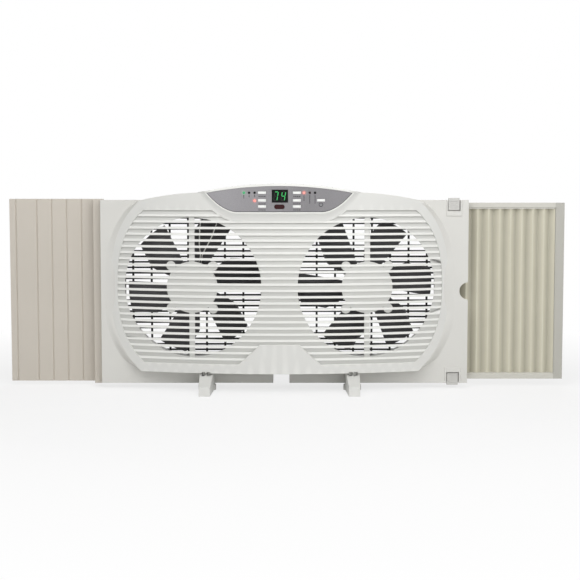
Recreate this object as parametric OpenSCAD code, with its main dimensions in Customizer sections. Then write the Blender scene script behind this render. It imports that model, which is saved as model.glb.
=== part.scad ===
// Twin window fan with a slide-out side screen, a clip-on side panel and clip-on feet.
// Millimetres. +X right, +Y away from the room, +Z up, origin under the middle of the whole fan.
// in_fans() draws from the point midway between the two fan axes, and in_frame() from the floor under it.

/* [Fans] */
// Radius over the blade tips
blade_r = 114; // [106:1:120]
// Space between the blade tips and their duct
tip_gap = 11; // [8:0.5:12]
// Wall of the two ducts
duct_wall = 3; // [2.7:0.1:4]
// Space between the two ducts
duct_gap = 36; // [32:1:44]
// Number of blades on each fan
blade_count = 6; // [4:1:7]
// Depth of a blade along the fan axis
blade_depth = 28; // [20:1:30]
// Thickness of a blade
blade_t = 2; // [1.5:0.1:2.5]
// Radius of the blade hub
blade_hub_r = 33; // [28:1:36]
// Angle of the first straight blade edge of the left fan, seen from the room
blade_turn_left = -3; // [-30:1:30]
// Angle of the first straight blade edge of the right fan
blade_turn_right = -10; // [-30:1:30]

/* [Motors] */
// Outer radius of the motor shells
motor_r = 40; // [38:1:41]
// Length of a motor over its two shells
motor_len = 28; // [26:1:28]
// Radius of the motor shafts
shaft_r = 4; // [3:0.5:5]
// Radial running clearance of a shaft in its bushes
bush_clearance = 0.05; // [0.02:0.01:0.09]
// Distance of the motor screws from the motor's outside
lug_reach = 10.4; // [9:0.2:12]

/* [Frame] */
// Width of the frame plate left of the fan box
side_left = 23; // [21:1:29]
// Width of the frame plate right of the fan box
side_right = 39; // [38:1:45]
// Height of the lips above and below the fan box
lip_h = 15; // [14:0.5:15]
// Thickness of the frame plate
plate_t = 2.5; // [2:0.1:3]
// Wall of the frame's edges and of the fan box
wall = 2.5; // [2:0.1:3]
// Depth of the frame behind its plate
frame_depth = 32; // [32:1:34]
// Space from a duct to the outside of the fan box
box_side = 7; // [6:0.5:9]
// Space from the ducts down to the outside of the fan box
box_below = 24; // [21:1:27]
// Depth of the fan box behind the plate
box_depth = 47; // [46:1:52]
// Radius of the finger notch in the frame's right edge
finger_r = 14.6; // [12:0.2:16]
// Height of the finger notch above the frame's bottom edge
finger_rise = 157.6; // [140:0.2:170]
// Width of the notch in the bottom lip
notch_w = 27.7; // [20:0.1:32]
// Middle of that notch, right of the fans' middle
notch_x = 2.5; // [-10:0.5:10]
// Inset of the cover screws from the sides of the fan box
corner_inset = 66; // [60:1:72]

/* [Front cover] */
// How far the cover stands in front of the frame plate
cover_depth = 58; // [56:1:60]
// Wall of the cover's sides
cover_wall = 3.5; // [3:0.1:4]
// Thickness of the cover's bowed front
bar_depth = 4.6; // [4.3:0.1:5]
// Height of the cover's lower edge above the bottom of the fan box
cover_rise = 8.2; // [6:0.2:9]
// How far the cover's rounded outline reaches past the sides of the fan box
cover_over = 6; // [3:0.5:9]
// How far the rounded outline, cut off above and below, would reach past the fan box
cover_past = 51; // [46:1:58]
// Power of the rounded outlines
outline_power = 2.6; // [2.3:0.1:3]
// Half width of the control head at the top
head_half_w = 134; // [130:1:138]
// Height of the control head's ends above the frame
head_end_rise = 12.5; // [11:0.5:14]
// Height of the control head from its lower edge to its ends
head_h = 44.5; // [42:0.5:46]
// Height of the control head's middle above its ends
head_rise = 14.5; // [12:0.5:18]
// How far the control head stands proud of the bow
head_proud = 3.5; // [3:0.1:4.5]

/* [Grille] */
// Pitch of the rows
row_pitch = 10.4; // [9.6:0.1:10.6]
// Height of the slots
slot_h = 6.5; // [5:0.1:6.8]
// Depth of the grooves between and on the openings
groove_depth = 2.6; // [1.6:0.1:2.8]
// How much deeper the outermost grooves are at the edge away from the fan axes
groove_tilt = 1.2; // [0:0.1:1.4]
// How far a ridge's upper edge leans back behind its lower one
ridge_lean = 0.4; // [0.2:0.1:0.6]
// How much larger the two openings are than the blades
opening_over = 2; // [0:0.5:4]
// Inset of the field of rows from the cover's outline, at the sides
field_side = 12; // [10:0.5:16]
// The same above and below
field_end = 17; // [14:0.5:22]
// How much larger the hub caps are than the motors
hub_over = 3; // [2:0.5:5]
// Radius of the four screw lobes on each hub cap
lobe_r = 8; // [7:0.5:9]
// Width of the upright rib above and below each hub cap
rib_w = 9.5; // [7:0.5:12]

/* [Controls] */
// Thickness of the control plate
panel_t = 2; // [1.5:0.1:2.2]
// Width of a button
button_w = 13; // [11:0.5:14]
// Height of a button
button_h = 4.1; // [3.6:0.1:4.6]
// Travel of a button
button_travel = 0.8; // [0.5:0.1:1]
// Width of the display window
display_w = 26.6; // [22:0.2:28]
// Height of the display window
display_h = 21.2; // [18:0.2:22]
// Thickness of the circuit board
board_t = 1.6; // [1:0.2:2]

/* [Side screen] */
// Travel of the side screen, which then stands that far out of the frame
screen_travel = 166; // [146:1:168]
// Height of the screen's rails
rail_h = 10; // [9:0.5:10.5]
// Thickness of the screen's frame
screen_t = 14; // [12:0.5:14]
// Width of the screen's end bar
end_bar_w = 15; // [13:1:17]
// Length of the rails that stays inside the frame
rail_hold = 110; // [80:5:118]
// Pitch of the pleats
pleat_pitch = 19; // [17:0.5:21]
// Depth of the pleats
pleat_depth = 8; // [6:0.5:9]
// Thickness of the pleated sheet
sheet_t = 0.8; // [0.6:0.1:1]

/* [Side panel] */
// Width of the side panel beside the frame
panel_out = 162; // [152:1:170]
// Thickness of the side panel
slat_t = 6; // [5:0.5:8]
// How far the panel reaches above and below the frame
slat_over = 1.8; // [0.6:0.2:2.4]
// Width of the panel's edge strip
strip_w = 14.4; // [13:0.2:16]
// Pitch of the grooves between the slats
slat_pitch = 25.7; // [22:0.1:28]
// Place of the first groove from the outer edge
slat_first = 11; // [9:0.5:13]
// Width of the second slat
slat_second = 36; // [30:1:40]
// Width of a groove
slat_gap = 2.4; // [1.6:0.2:3]

/* [Locks and feet] */
// Width of a window lock
lock_w = 19; // [18:0.5:21]
// Height of a window lock
lock_h = 21; // [19:0.5:22]
// Travel of a window lock
lock_travel = 3.5; // [3:0.5:4.5]
// Inset of the locks' middle from the frame's right edge
lock_inset = 25; // [24:1:26]
// Gap beside and below a window lock
lock_play = 1.2; // [0.6:0.1:1.6]
// Height of the frame's bottom edge above the table
foot_lift = 9; // [8:0.2:12]
// Length of a foot
foot_len = 152; // [142:1:160]
// Width of a foot at its nose
foot_w = 18.4; // [17:0.2:21]
// Inset of each foot from its fan's axis
foot_inset = 23; // [16:1:30]
// Radius of the round pad on each foot
puck_r = 15; // [13:0.5:16]

/* [Hidden] */
$fn = 96;

slip = 0.3;      // play of a piece that slides or rests in another
bow_fn = 720;    // sides that draw the wide bow smoothly
far = 400;       // longer than anything it cuts

// widths, from the middle of the fans
duct_r = blade_r + tip_gap;
duct_out = duct_r + duct_wall;
fan_x = duct_out + duct_gap / 2;
box_half_w = fan_x + duct_out + box_side;
frame_left = box_half_w + side_left;
frame_right = box_half_w + side_right;
reach_left = frame_left + panel_out;
reach_right = frame_right + screen_travel;
fans_x = (reach_left - reach_right) / 2;

// heights, from the floor; the ducts run into the top wall of the fan box
duct_sink = 0.5;
axis_rise = duct_out + box_below;
frame_bottom = foot_lift;
box_bottom = frame_bottom + lip_h;
axis_z = box_bottom + axis_rise;
box_top = axis_z + duct_out + wall - duct_sink;
frame_top = box_top + lip_h;
frame_h = frame_top - frame_bottom;

// depths
plate_front = 14.5;
plate_back = plate_front + plate_t;
box_back = plate_back + box_depth;
frame_back = plate_back + frame_depth;

// the cover's bow is a wide upright cylinder that meets the plate at the cover's sides
cover_a = box_half_w + cover_over;
cover_b = axis_rise + cover_past;
cover_front = plate_front - cover_depth;
bow_r = (cover_a * cover_a + cover_depth * cover_depth) / (2 * cover_depth);
bow_y = cover_front + bow_r;
cover_low = box_bottom + cover_rise - axis_z;
cover_shoulder = frame_top - axis_z;
head_end = cover_shoulder + head_end_rise;
head_top = head_end + head_rise;

// outline of the front cover and of the control head
shoulder_power = 1.7;
bezel_flat = 70;
bezel_low = head_end - head_h;
boat_power = 1.85;
panel_margin = 13.5;
panel_end_drop = 1;
panel_top_drop = 4.5;
panel_rise = 12.3;
panel_low = bezel_low + panel_rise;
ledge = 4;

// field of the rows, with a bare patch at the bottom
opening_r = blade_r + opening_over;
rows_each = floor(opening_r / row_pitch) + 1;
field_a = cover_a - field_side;
field_b = cover_b - field_end;
bare_top = cover_low + 48.8;
bare_half_w = 33;
bare_slope = 1.07;
bare_h = 40;
head_clear = 4;
ridge_set = 0.1;   // how far the ridges' lower edges stand behind the bow

// fastenings
screw_r = 2;
screw_bore_r = 1.7;
screw_head_r = 3.6;
screw_head_h = 2.4;
boss_r = 5;
ear_drop = 9;
ear_half_w = 7;
ear_h = 6;
corner_x = box_half_w - corner_inset;
hub_r = motor_r + hub_over;
lug_pcr = motor_r + lug_reach;
grille_rim = 12;

// rear grille
grille_depth = 12;
grille_bar_h = 3;
grille_bar_w = 3.5;
grille_bar_t = 3;
grille_row_pitch = 9.6;
grille_post_pitch = 32;
grille_screw_inset = 14;

// motor and blade stations along Y
motor_front = plate_front - 28.5;
motor_back = motor_front + motor_len;
motor_split = (motor_front + motor_back) / 2;
shell_wall = 2;
lug_t = 3;
lug_half_w = 5;
lug_grip = 4;
bush_r = 8;
bush_len = 6;
stator_front = motor_front + 7.5;
stator_len = 13;
stator_r = motor_r - shell_wall;
rotor_r = 20;
air_gap = 0.5;
coil_out_r = 33;
coil_in_r = 23;
coil_end_gap = 0.4;
blade_front = plate_back + 2.5;
blade_back = blade_front + blade_depth;
nut_t = 5;
nut_r = 8;
shaft_front = motor_front + 1.5;
shaft_back = blade_back + nut_t + 1;

// control head
head_face = cover_front - head_proud;
shelf_back = cover_front + 8;
board_front = shelf_back + 4;
board_left = 56 - head_half_w;
board_right = head_half_w - 54;
board_low = panel_low + 2;
board_high = panel_low + 36;
can_r = 6;
can_h = 9;
can_rise = 17;
cans = [-52, -30, 30, 52];
relay = [32, 14, 24];
relay_rise = 6;
post_r = 2.5;
posts = [[-72, 24.5], [-47, 6.5], [47, 6.5], [74, 29.5]];
button_gap = 0.3;
button_proud = 1;
button_rows = [31.7, 19.2, 9.1];
button_col = 28.6;
power_at = [68.3, 19.3];
lamp_r = 2;
lamps = [[-58.5, 31.7], [-49.8, 31.7], [-40.7, 31.7], [-40.7, 18.7],
    [40.4, 31.7], [49.8, 31.7], [58.6, 31.7]];
display_at = [0.75, 26.1];
receiver_at = [0, 8.6];
receiver_w = 17.3;
receiver_h = 7.5;
switch_side = 6;
switch_h = 4;

// side screen, between two lips of the frame
guide_front = plate_back + 12.2;
guide_t = 2.5;
screen_front = guide_front + guide_t + slip;
screen_back = screen_front + screen_t;
screen_low = box_bottom - slip - rail_h;
screen_high = box_top + slip + rail_h;
rail_inner = reach_right - screen_travel - rail_hold;
pleat_start = box_half_w + slip;
pleat_end = reach_right - end_bar_w - slip;
pleat_count = round((pleat_end - pleat_start) / pleat_pitch);

// side panel
slat_front = plate_front + 38;
strip_front = plate_back + 14;
strip_drop = 2.5;
slat_low = frame_bottom - slat_over;
slat_high = frame_top + slat_over;
tongue_t = 4;
tongue_h = 24;
tongue_len = 10;
tongue_inset = 50;
tongue_levels = [tongue_inset, frame_h / 2, frame_h - tongue_inset];

// locks
lock_x = frame_right - lock_inset;
pocket_wall = 2.5;
pocket_h = 27;
pocket_depth = 7;
pocket_proud = 1.8;
lock_t = 5;

// feet
foot_x = fan_x - foot_inset;
foot_rear_h = foot_lift - slip;
nose_h = 15.5;
slope_back = 56;
foot_top = cover_low + axis_z - slip;
foot_top_w = 23;
prong_w = 4.7;
prong_gap = 8.3;
prong_h = 5.6;
prong_t = 4;
clip_slot = 6.2;
clip_rise = 2.4;
clip_y = -22;
channel_depth = 4.4;
pad_r = 5;
pad_t = 1.2;
pad_inset = 12;

// run capacitors and leads
cap_size = [38, 26, 20];
cap_gap = 12;
cap_rise = 17;
lead_r = 1;
gland_x = fan_x + 29;
plug_z = panel_low + 12.7;
gland_y = 0;
gland_r = 6;
cord_bore_r = 3.6;

// half width of a rounded outline with half axes a and b, at height z
function round_x(z, a, b) = a * pow(1 - pow(min(abs(z) / b, 1), outline_power), 1 / outline_power);

// Y of the bow at x, for a face that stands proud of the cover by a given amount
function bow_at(x, proud = 0) = bow_y - sqrt(pow(bow_r + proud, 2) - x * x);

// height of an arc over a chord of half width w and rise h, at x
function arc_at(x, w, h) = let (r = (w * w + h * h) / (2 * h)) sqrt(r * r - x * x) - r + h;

// height of the cover's top edge at x
function cover_top(x, w) = abs(x) <= head_half_w
    ? head_end + arc_at(x, head_half_w, head_rise)
    : cover_shoulder + head_end_rise
        * (1 - pow(min((abs(x) - head_half_w) / (w - head_half_w), 1), shoulder_power));

// height of the lower edge of a boat-shaped plate, at x
function boat_low(x, w, low, end) = abs(x) <= bezel_flat
    ? low
    : low + (end - low) * pow((abs(x) - bezel_flat) / (w - bezel_flat), boat_power);

// places everything that is drawn from the middle of the fans
module in_fans() {
    translate([fans_x, 0, axis_z]) children();
}

// the same, with heights from the floor
module in_frame() {
    translate([fans_x, 0, 0]) children();
}

// a flat outline in X and Z, drawn out along Y
module slab(y0, y1) {
    translate([0, y1, 0]) rotate([90, 0, 0]) linear_extrude(y1 - y0) children();
}

// a round bar along Y
module bar_y(x, z, r, y0, y1) {
    translate([x, y1, z]) rotate([90, 0, 0]) cylinder(r = r, h = y1 - y0);
}

// a box from its two corners
module block(low, high) {
    translate(low) cube(high - low);
}

// everything behind the bow, or behind a bow that stands proud of it
module bow(proud = 0, half_h = far) {
    translate([0, bow_y, -half_h]) cylinder(r = bow_r + proud, h = 2 * half_h, $fn = bow_fn);
}

// outline of the front cover, drawn in by an inset
module cover_outline(inset = 0) {
    a = cover_a - inset;
    b = cover_b - inset;
    low = cover_low + inset;
    shoulder = cover_shoulder - min(inset, 1);
    w = round_x(shoulder, a, b);
    side_steps = 28;
    top_steps = 48;
    side = [for (i = [0:side_steps]) let (z = low + (shoulder - low) * i / side_steps)
        [round_x(z, a, b), z]];
    top = [for (i = [1:top_steps - 1]) let (x = w - 2 * w * i / top_steps)
        [x, cover_top(x, w) - inset]];
    left = [for (i = [side_steps:-1:0]) [-side[i][0], side[i][1]]];
    polygon(concat(side, top, left));
}

// boat-shaped plate of the control head
module boat_outline(w, low, end, top) {
    steps = 36;
    upper = [for (i = [0:steps]) let (x = w - 2 * w * i / steps) [x, end + arc_at(x, w, top - end)]];
    lower = [for (i = [1:steps - 1]) let (x = -w + 2 * w * i / steps) [x, boat_low(x, w, low, end)]];
    polygon(concat(upper, lower));
}

module bezel_outline() {
    boat_outline(head_half_w, bezel_low, head_end, head_top);
}

module panel_outline(inset = 0) {
    boat_outline(head_half_w - panel_margin - 2 * inset, panel_low + inset,
        head_end - panel_end_drop - inset, head_top - panel_top_drop - inset);
}

// field of the rows: rounded, free of the control head and of a bare patch at the bottom
module field_outline() {
    half_rows = row_pitch * rows_each + slot_h / 2 + 0.5;
    steps = 40;
    right = [for (i = [0:steps]) let (z = -half_rows + 2 * half_rows * i / steps)
        [round_x(z, field_a, field_b), z]];
    difference() {
        polygon(concat(right, [for (i = [steps:-1:0]) [-right[i][0], right[i][1]]]));
        boat_outline(head_half_w + head_clear, bezel_low - head_clear + 1, head_end + 2, head_top + 2);
        polygon([[-bare_half_w, bare_top], [bare_half_w, bare_top],
            [bare_half_w + bare_slope * bare_h, bare_top - bare_h],
            [-bare_half_w - bare_slope * bare_h, bare_top - bare_h]]);
    }
}

module both_fans() {
    for (side = [-1, 1]) translate([side * fan_x, 0, 0]) children();
}

// hub cap of the grille with its four screw lobes, along Y
module hub_shape(y0, y1, grow = 0) {
    bar_y(0, 0, hub_r + grow, y0, y1);
    for (a = [45:90:315]) bar_y(lug_pcr * cos(a), lug_pcr * sin(a), lobe_r + grow, y0, y1);
}

// what each row takes out of the cover, before the ribs are kept
module row_cuts(y0, y1) {
    for (k = [-rows_each:rows_each])
        block([-far, y0, k * row_pitch - slot_h / 2], [far, y1, k * row_pitch + slot_h / 2]);
}

// everything behind the rows: the floors of the grooves slope inwards away from the fan axes, and the
// ridges between them stand a little behind the bow and lean back at the top
module behind_rows() {
    top = rows_each * row_pitch + slot_h / 2;
    clear = bow_r + 20;
    floors = [for (k = [-rows_each:rows_each], s = [-1, 1])
        [bow_r - groove_depth - s * groove_tilt * k / rows_each, k * row_pitch + s * slot_h / 2]];
    ridges = [for (k = [-rows_each:rows_each - 1]) [
        [bow_r - ridge_set, k * row_pitch + slot_h / 2],
        [bow_r - ridge_set - ridge_lean, (k + 1) * row_pitch - slot_h / 2]]];
    edge = [for (k = [0:2 * rows_each], j = [0:3]) if (j < 2 || k < 2 * rows_each)
        j < 2 ? floors[2 * k + j] : ridges[k][j - 2]];
    translate([0, bow_y, 0]) rotate_extrude($fn = bow_fn)
        polygon(concat([[0, -top - 5], [clear, -top - 5], [clear, -top]], edge,
            [[clear, top], [clear, top + 5], [0, top + 5]]));
}

// the upright ribs, and the level rib that fills the middle row between the hub caps: they stay behind the grooves
module rib_keep(y0, y1) {
    both_fans() block([-rib_w / 2, y0, -opening_r - 1], [rib_w / 2, y1, opening_r + 1]);
    block([-fan_x, y0, -row_pitch / 2], [fan_x, y1, row_pitch / 2]);
}

module front_cover() {
    back = plate_front;
    front = cover_front - 10;
    color("#d7d7cf") in_fans() difference() {
        union() {
            difference() {
                cover_solid(front, back);
                intersection() {
                    slab(front, back + 1) cover_outline(cover_wall);
                    bow(-bar_depth);
                }
            }
            intersection() {
                cover_solid(front, back);
                cover_bosses(front, back);
            }
            // shelf behind the control plate
            intersection() {
                difference() {
                    slab(front, back) panel_outline(-1);
                    slab(front - 1, back + 1) panel_outline(ledge);
                }
                bow(head_proud);
                block([-far, front, 0], [far, shelf_back, far]);
            }
        }
        // bed of the control plate, and the window behind it
        difference() {
            slab(front - 1, back) panel_outline(-slip);
            bow(head_proud - 0.5 - panel_t);
        }
        slab(front - 1, shelf_back + 12) panel_outline(ledge);
        // grooves, and the ridges' sloping fronts
        difference() {
            slab(front - 1, back) field_outline();
            behind_rows();
        }
        // slots of the two openings
        difference() {
            intersection() {
                row_cuts(front, back - 1);
                slab(front - 1, back) field_outline();
                both_fans() bar_y(0, 0, opening_r, front - 1, back - 1);
            }
            both_fans() hub_shape(front - 2, back + 1);
            rib_keep(front - 2, back + 1);
        }
        // bores of the cover screws and of the motor screws
        for (p = corner_points()) bar_y(p[0], p[1], screw_bore_r, back - 12, back + 1);
        both_fans() lug_holes(motor_front - lug_grip - 0.3, motor_front + 1, screw_bore_r);
        // hook slots of the two feet
        for (side = [-1, 1], k = [-0.5, 0.5]) translate([side * foot_x + k * prong_gap, 0, cover_low]) {
            block([-clip_slot / 2, front, -1], [clip_slot / 2, clip_y, clip_rise]);
            block([-clip_slot / 2, clip_y - 1, -1], [clip_slot / 2, clip_y + prong_t + 1, cover_wall + 1]);
        }
        // hole of the cord gland
        translate([gland_x, gland_y, cover_low - 1]) cylinder(r = gland_r, h = cover_wall + 2);
    }
}

// the cover before it is hollowed, with the raised rim of the control head
module cover_solid(front, back) {
    intersection() {
        slab(front, back) cover_outline();
        bow();
    }
    intersection() {
        slab(front, cover_front + 20) bezel_outline();
        bow(head_proud);
    }
}

// where the cover is screwed to the frame
function corner_points() = [for (x = [-corner_x, 0, corner_x], z = [cover_low + ear_drop,
    box_top - axis_z - ear_drop]) [x, z]];

module cover_bosses(front, back) {
    for (p = corner_points()) bar_y(p[0], p[1], boss_r, front, back);
    both_fans() lug_holes(front, motor_front, lobe_r - 1);
}

module lug_holes(y0, y1, r) {
    for (a = [45:90:315]) bar_y(lug_pcr * cos(a), lug_pcr * sin(a), r, y0, y1);
}

module head_back() {
    color("#cfcfc6") in_fans() intersection() {
        slab(plate_front - 2.5, plate_front) cover_outline(cover_wall + slip);
        block([-far, 0, cover_shoulder - 2.5], [far, plate_front, far]);
    }
}

module mounting_frame() {
    color("#d2d3cb") in_frame() difference() {
        union() {
            // plate, edges and the lips that guide the side screen
            block([-frame_left, plate_front, frame_bottom], [frame_right, plate_back, frame_top]);
            block([-frame_left, plate_front, frame_top - wall], [frame_right, frame_back, frame_top]);
            block([-frame_left, plate_front, frame_bottom],
                [frame_right, frame_back, frame_bottom + wall]);
            block([-frame_left, plate_front, frame_bottom],
                [-frame_left + wall, frame_back, frame_top]);
            for (y = [guide_front, screen_back + slip], z = [frame_bottom, screen_high - rail_h + 2])
                block([-frame_left, y, z], [frame_right, y + guide_t,
                    z == frame_bottom ? screen_low + rail_h - 2 : frame_top]);
            lock_pocket();
            translate([0, 0, frame_bottom + frame_top]) mirror([0, 0, 1]) lock_pocket();
        }
        // mouths of the two ducts
        for (side = [-1, 1])
            bar_y(side * fan_x, axis_z, duct_r, plate_front - 1, plate_back + 1);
        // finger notch and the notch in the bottom lip
        bar_y(frame_right, frame_bottom + finger_rise, finger_r, plate_front - 1, plate_back + 1);
        block([notch_x - notch_w / 2, plate_front - 1, frame_bottom - 1],
            [notch_x + notch_w / 2, frame_back + 1, box_bottom]);
        lock_hole();
        translate([0, 0, frame_bottom + frame_top]) mirror([0, 0, 1]) lock_hole();
        for (p = corner_points())
            bar_y(p[0], p[1] + axis_z, screw_r + 0.2, plate_front - 1, plate_back + 1);
        // sockets of the side panel's tongues
        for (z = tongue_levels)
            block([-frame_left - 1, tongue_y() - slip, frame_bottom + z - tongue_h / 2 - slip],
                [-frame_left + wall + 1, tongue_y() + tongue_t + slip,
                    frame_bottom + z + tongue_h / 2 + slip]);
    }
}

function tongue_y() = screen_front + (screen_t - tongue_t) / 2;

// pocket of the upper window lock, with its raised border
module lock_pocket() {
    half = lock_w / 2 + lock_play + pocket_wall;
    block([lock_x - half, plate_front - pocket_proud, frame_top - pocket_h],
        [lock_x + half, plate_front + pocket_depth + wall, frame_top]);
}

module lock_hole() {
    half = lock_w / 2 + lock_play;
    block([lock_x - half, plate_front - pocket_proud - 1, frame_top + lock_travel - lock_h - lock_play],
        [lock_x + half, plate_front + pocket_depth, frame_top + 1]);
    // room behind the lower border, where the lock slides in
    block([lock_x - half, lock_face() - slip, frame_top - lock_h - lock_play],
        [lock_x + half, plate_front + pocket_depth, frame_top + 1]);
}

function lock_face() = plate_front + pocket_depth - lock_t - slip;

// window lock with its finger ridges, lying in its pocket
module window_lock() {
    y = lock_face();
    top = frame_top + lock_travel;
    ridge = 0.5;
    block([lock_x - lock_w / 2, y, top - lock_h], [lock_x + lock_w / 2, y + lock_t, top]);
    for (k = [0:3])
        block([lock_x - lock_w / 2 + 3, y - ridge, top - lock_h + 4 + k * 3.6],
            [lock_x + lock_w / 2 - 3, y, top - lock_h + 5.6 + k * 3.6]);
}

module lock_top() {
    color("#c1c0bb") in_frame() window_lock();
}

module lock_bottom() {
    color("#c1c0bb") in_frame() translate([0, 0, frame_bottom + frame_top])
        mirror([0, 0, 1]) window_lock();
}

module fan_housing() {
    y0 = plate_back;
    color("#b9bab0") in_frame() difference() {
        union() {
            difference() {
                block([-box_half_w, y0, box_bottom], [box_half_w, box_back, box_top]);
                block([-box_half_w + wall, y0 - 1, box_bottom + wall],
                    [box_half_w - wall, box_back - wall, box_top - wall]);
            }
            for (side = [-1, 1]) bar_y(side * fan_x, axis_z, duct_out, y0, box_back);
            // ears that the cover screws pass through
            for (p = corner_points())
                block([p[0] - ear_half_w, y0, p[1] > 0 ? p[1] + axis_z - ear_h : box_bottom],
                    [p[0] + ear_half_w, y0 + wall, p[1] > 0 ? box_top : p[1] + axis_z + ear_h]);
            for (p = grille_points()) bar_y(p[0], p[1], boss_r, box_back - 12, box_back);
        }
        for (side = [-1, 1]) bar_y(side * fan_x, axis_z, duct_r, y0 - 1, box_back + 1);
        for (p = corner_points()) bar_y(p[0], p[1] + axis_z, screw_r + 0.2, y0 - 1, y0 + wall + 1);
        for (p = grille_points()) bar_y(p[0], p[1], screw_bore_r, box_back - 11, box_back + 1);
    }
}

function grille_points() = [for (x = [-1, 1], z = [box_bottom + grille_screw_inset,
    box_top - grille_screw_inset]) [x * (box_half_w - grille_screw_inset), z]];

module rear_grille() {
    y1 = box_back + grille_depth;
    half = box_half_w;
    rows = floor((box_top - box_bottom - 2 * grille_rim) / 2 / grille_row_pitch);
    posts_each = floor((half - grille_rim) / grille_post_pitch);
    color("#5a5a54") in_frame() difference() {
        union() {
            difference() {
                block([-half, box_back, box_bottom], [half, y1, box_top]);
                block([-half + wall, box_back - 1, box_bottom + wall],
                    [half - wall, y1 - grille_bar_t, box_top - wall]);
                block([-half + grille_rim, box_back, box_bottom + grille_rim],
                    [half - grille_rim, y1 + 1, box_top - grille_rim]);
            }
            for (k = [-rows:rows]) let (z = (box_bottom + box_top) / 2 + k * grille_row_pitch)
                block([-half + grille_rim - 1, y1 - grille_bar_t, z - grille_bar_h / 2],
                    [half - grille_rim + 1, y1, z + grille_bar_h / 2]);
            for (k = [-posts_each:posts_each])
                block([k * grille_post_pitch - grille_bar_w / 2, y1 - 2 * grille_bar_t + 1,
                        box_bottom + grille_rim - 1],
                    [k * grille_post_pitch + grille_bar_w / 2, y1 - grille_bar_t + 1,
                        box_top - grille_rim + 1]);
            for (p = grille_points()) bar_y(p[0], p[1], boss_r, box_back, y1 - grille_bar_t + 1);
        }
        for (p = grille_points()) bar_y(p[0], p[1], screw_r + 0.2, box_back - 1, y1 + 1);
    }
}

// round-headed screw along Y, its head at y and its point towards the room
module screw_y(x, z, y, length) {
    bar_y(x, z, screw_bore_r, y - length, y);
    difference() {
        bar_y(x, z, screw_head_r, y, y + screw_head_h);
        for (a = [0, 90]) translate([x, y + screw_head_h, z]) rotate([0, a, 0])
            cube([0.9, 2.4, 4], center = true);
    }
}

module cover_screws() {
    color("#a8a8a4") in_frame() for (p = corner_points())
        screw_y(p[0], p[1] + axis_z, plate_back + wall, 14);
}

module grille_screws() {
    color("#a8a8a4") in_frame() for (p = grille_points())
        screw_y(p[0], p[1], box_back + grille_depth, grille_depth + 9);
}

module motor_screws() {
    color("#a8a8a4") in_fans() both_fans() for (a = [45:90:315])
        screw_y(lug_pcr * cos(a), lug_pcr * sin(a), motor_front + lug_t, lug_t + lug_grip);
}

// control head: plate with its holes, windows, lamps, board and buttons
module at_head(p) {
    translate([p[0], 0, panel_low + p[1]]) children();
}

module square_y(w, h, y0, y1) {
    block([-w / 2, y0, -h / 2], [w / 2, y1, h / 2]);
}

function button_points() = concat(
    [for (x = [-button_col, button_col], z = button_rows) [x, z]], [power_at]);

module control_plate() {
    front = cover_front - 10;
    color("#93969a") in_fans() difference() {
        union() {
            intersection() {
                slab(front, plate_front) panel_outline();
                difference() {
                    bow(head_proud - 0.5);
                    bow(head_proud - 0.5 - panel_t);
                }
            }
            for (p = posts)
                intersection() {
                    at_head(p) bar_y(0, 0, post_r, front, board_front);
                    bow(head_proud - 1);
                }
        }
        for (p = button_points()) at_head(p)
            square_y(button_w + 2 * button_gap, button_h + 2 * button_gap, front, board_front - 1);
        for (p = lamps) at_head(p) bar_y(0, 0, lamp_r, front, board_front - 1);
        at_head(display_at) square_y(display_w, display_h, front, board_front - 1);
        at_head(receiver_at) receiver_shape(0, front, board_front - 1);
    }
}

// round-ended shape of the receiver window
module receiver_shape(inset, y0, y1) {
    end = (receiver_w - receiver_h) / 2;
    square_y(2 * end, receiver_h - 2 * inset, y0, y1);
    for (side = [-1, 1]) bar_y(side * end, 0, receiver_h / 2 - inset, y0, y1);
}

module display_window() {
    color("#15181a") in_fans() at_head(display_at)
        square_y(display_w - 0.2, display_h - 0.2, head_face + 0.2, head_face + 0.2 + panel_t);
}

module receiver_window() {
    color("#3a1518") in_fans() at_head(receiver_at)
        receiver_shape(0.1, head_face + 0.2, head_face + 0.2 + panel_t);
}

module indicator_lenses() {
    color("#c8d8c8") in_fans() for (p = lamps) at_head(p)
        bar_y(0, 0, lamp_r - 0.05, bow_at(p[0], head_proud) + 0.1, board_front - 3);
}

module control_board() {
    color("#2f6b3d") in_fans() block([board_left, board_front, board_low],
        [board_right, board_front + board_t, board_high]);
}

module board_parts() {
    color("#303236") in_fans() {
        at_head(display_at) square_y(display_w - 3, display_h - 3, head_face + panel_t + 0.4, board_front);
        at_head(receiver_at) square_y(8, 6, board_front - 5, board_front);
        for (p = button_points()) at_head(p)
            square_y(switch_side, switch_side - 0.4, board_front - switch_h, board_front);
        for (p = lamps) at_head(p) bar_y(0, 0, lamp_r, board_front - 3, board_front);
        for (x = cans)
            bar_y(x, board_low + can_rise, can_r, board_front + board_t, board_front + board_t + can_h);
        block([-relay[0] / 2, board_front + board_t, board_low + relay_rise],
            [relay[0] / 2, board_front + board_t + relay[1], board_low + relay_rise + relay[2]]);
    }
}

// button cap with the collar that keeps it behind the plate, and its stem
module button(p) {
    face = bow_at(abs(p[0]) + button_w / 2, head_proud) - button_proud;
    collar = bow_at(abs(p[0]) + button_w / 2, head_proud - 0.5 - panel_t) + slip;
    color("#e6e6e1") in_fans() at_head(p) {
        square_y(button_w, button_h, face, collar + 0.6);
        square_y(button_w + 3, button_h + 2.4, collar, collar + 1.2);
        bar_y(0, 0, 1.5, collar, board_front - switch_h - button_travel - 0.05);
    }
}

module button_left_top() { button([-button_col, button_rows[0]]); }
module button_left_middle() { button([-button_col, button_rows[1]]); }
module button_left_bottom() { button([-button_col, button_rows[2]]); }
module button_right_top() { button([button_col, button_rows[0]]); }
module button_right_middle() { button([button_col, button_rows[1]]); }
module button_right_bottom() { button([button_col, button_rows[2]]); }
module button_power() { button(power_at); }

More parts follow.
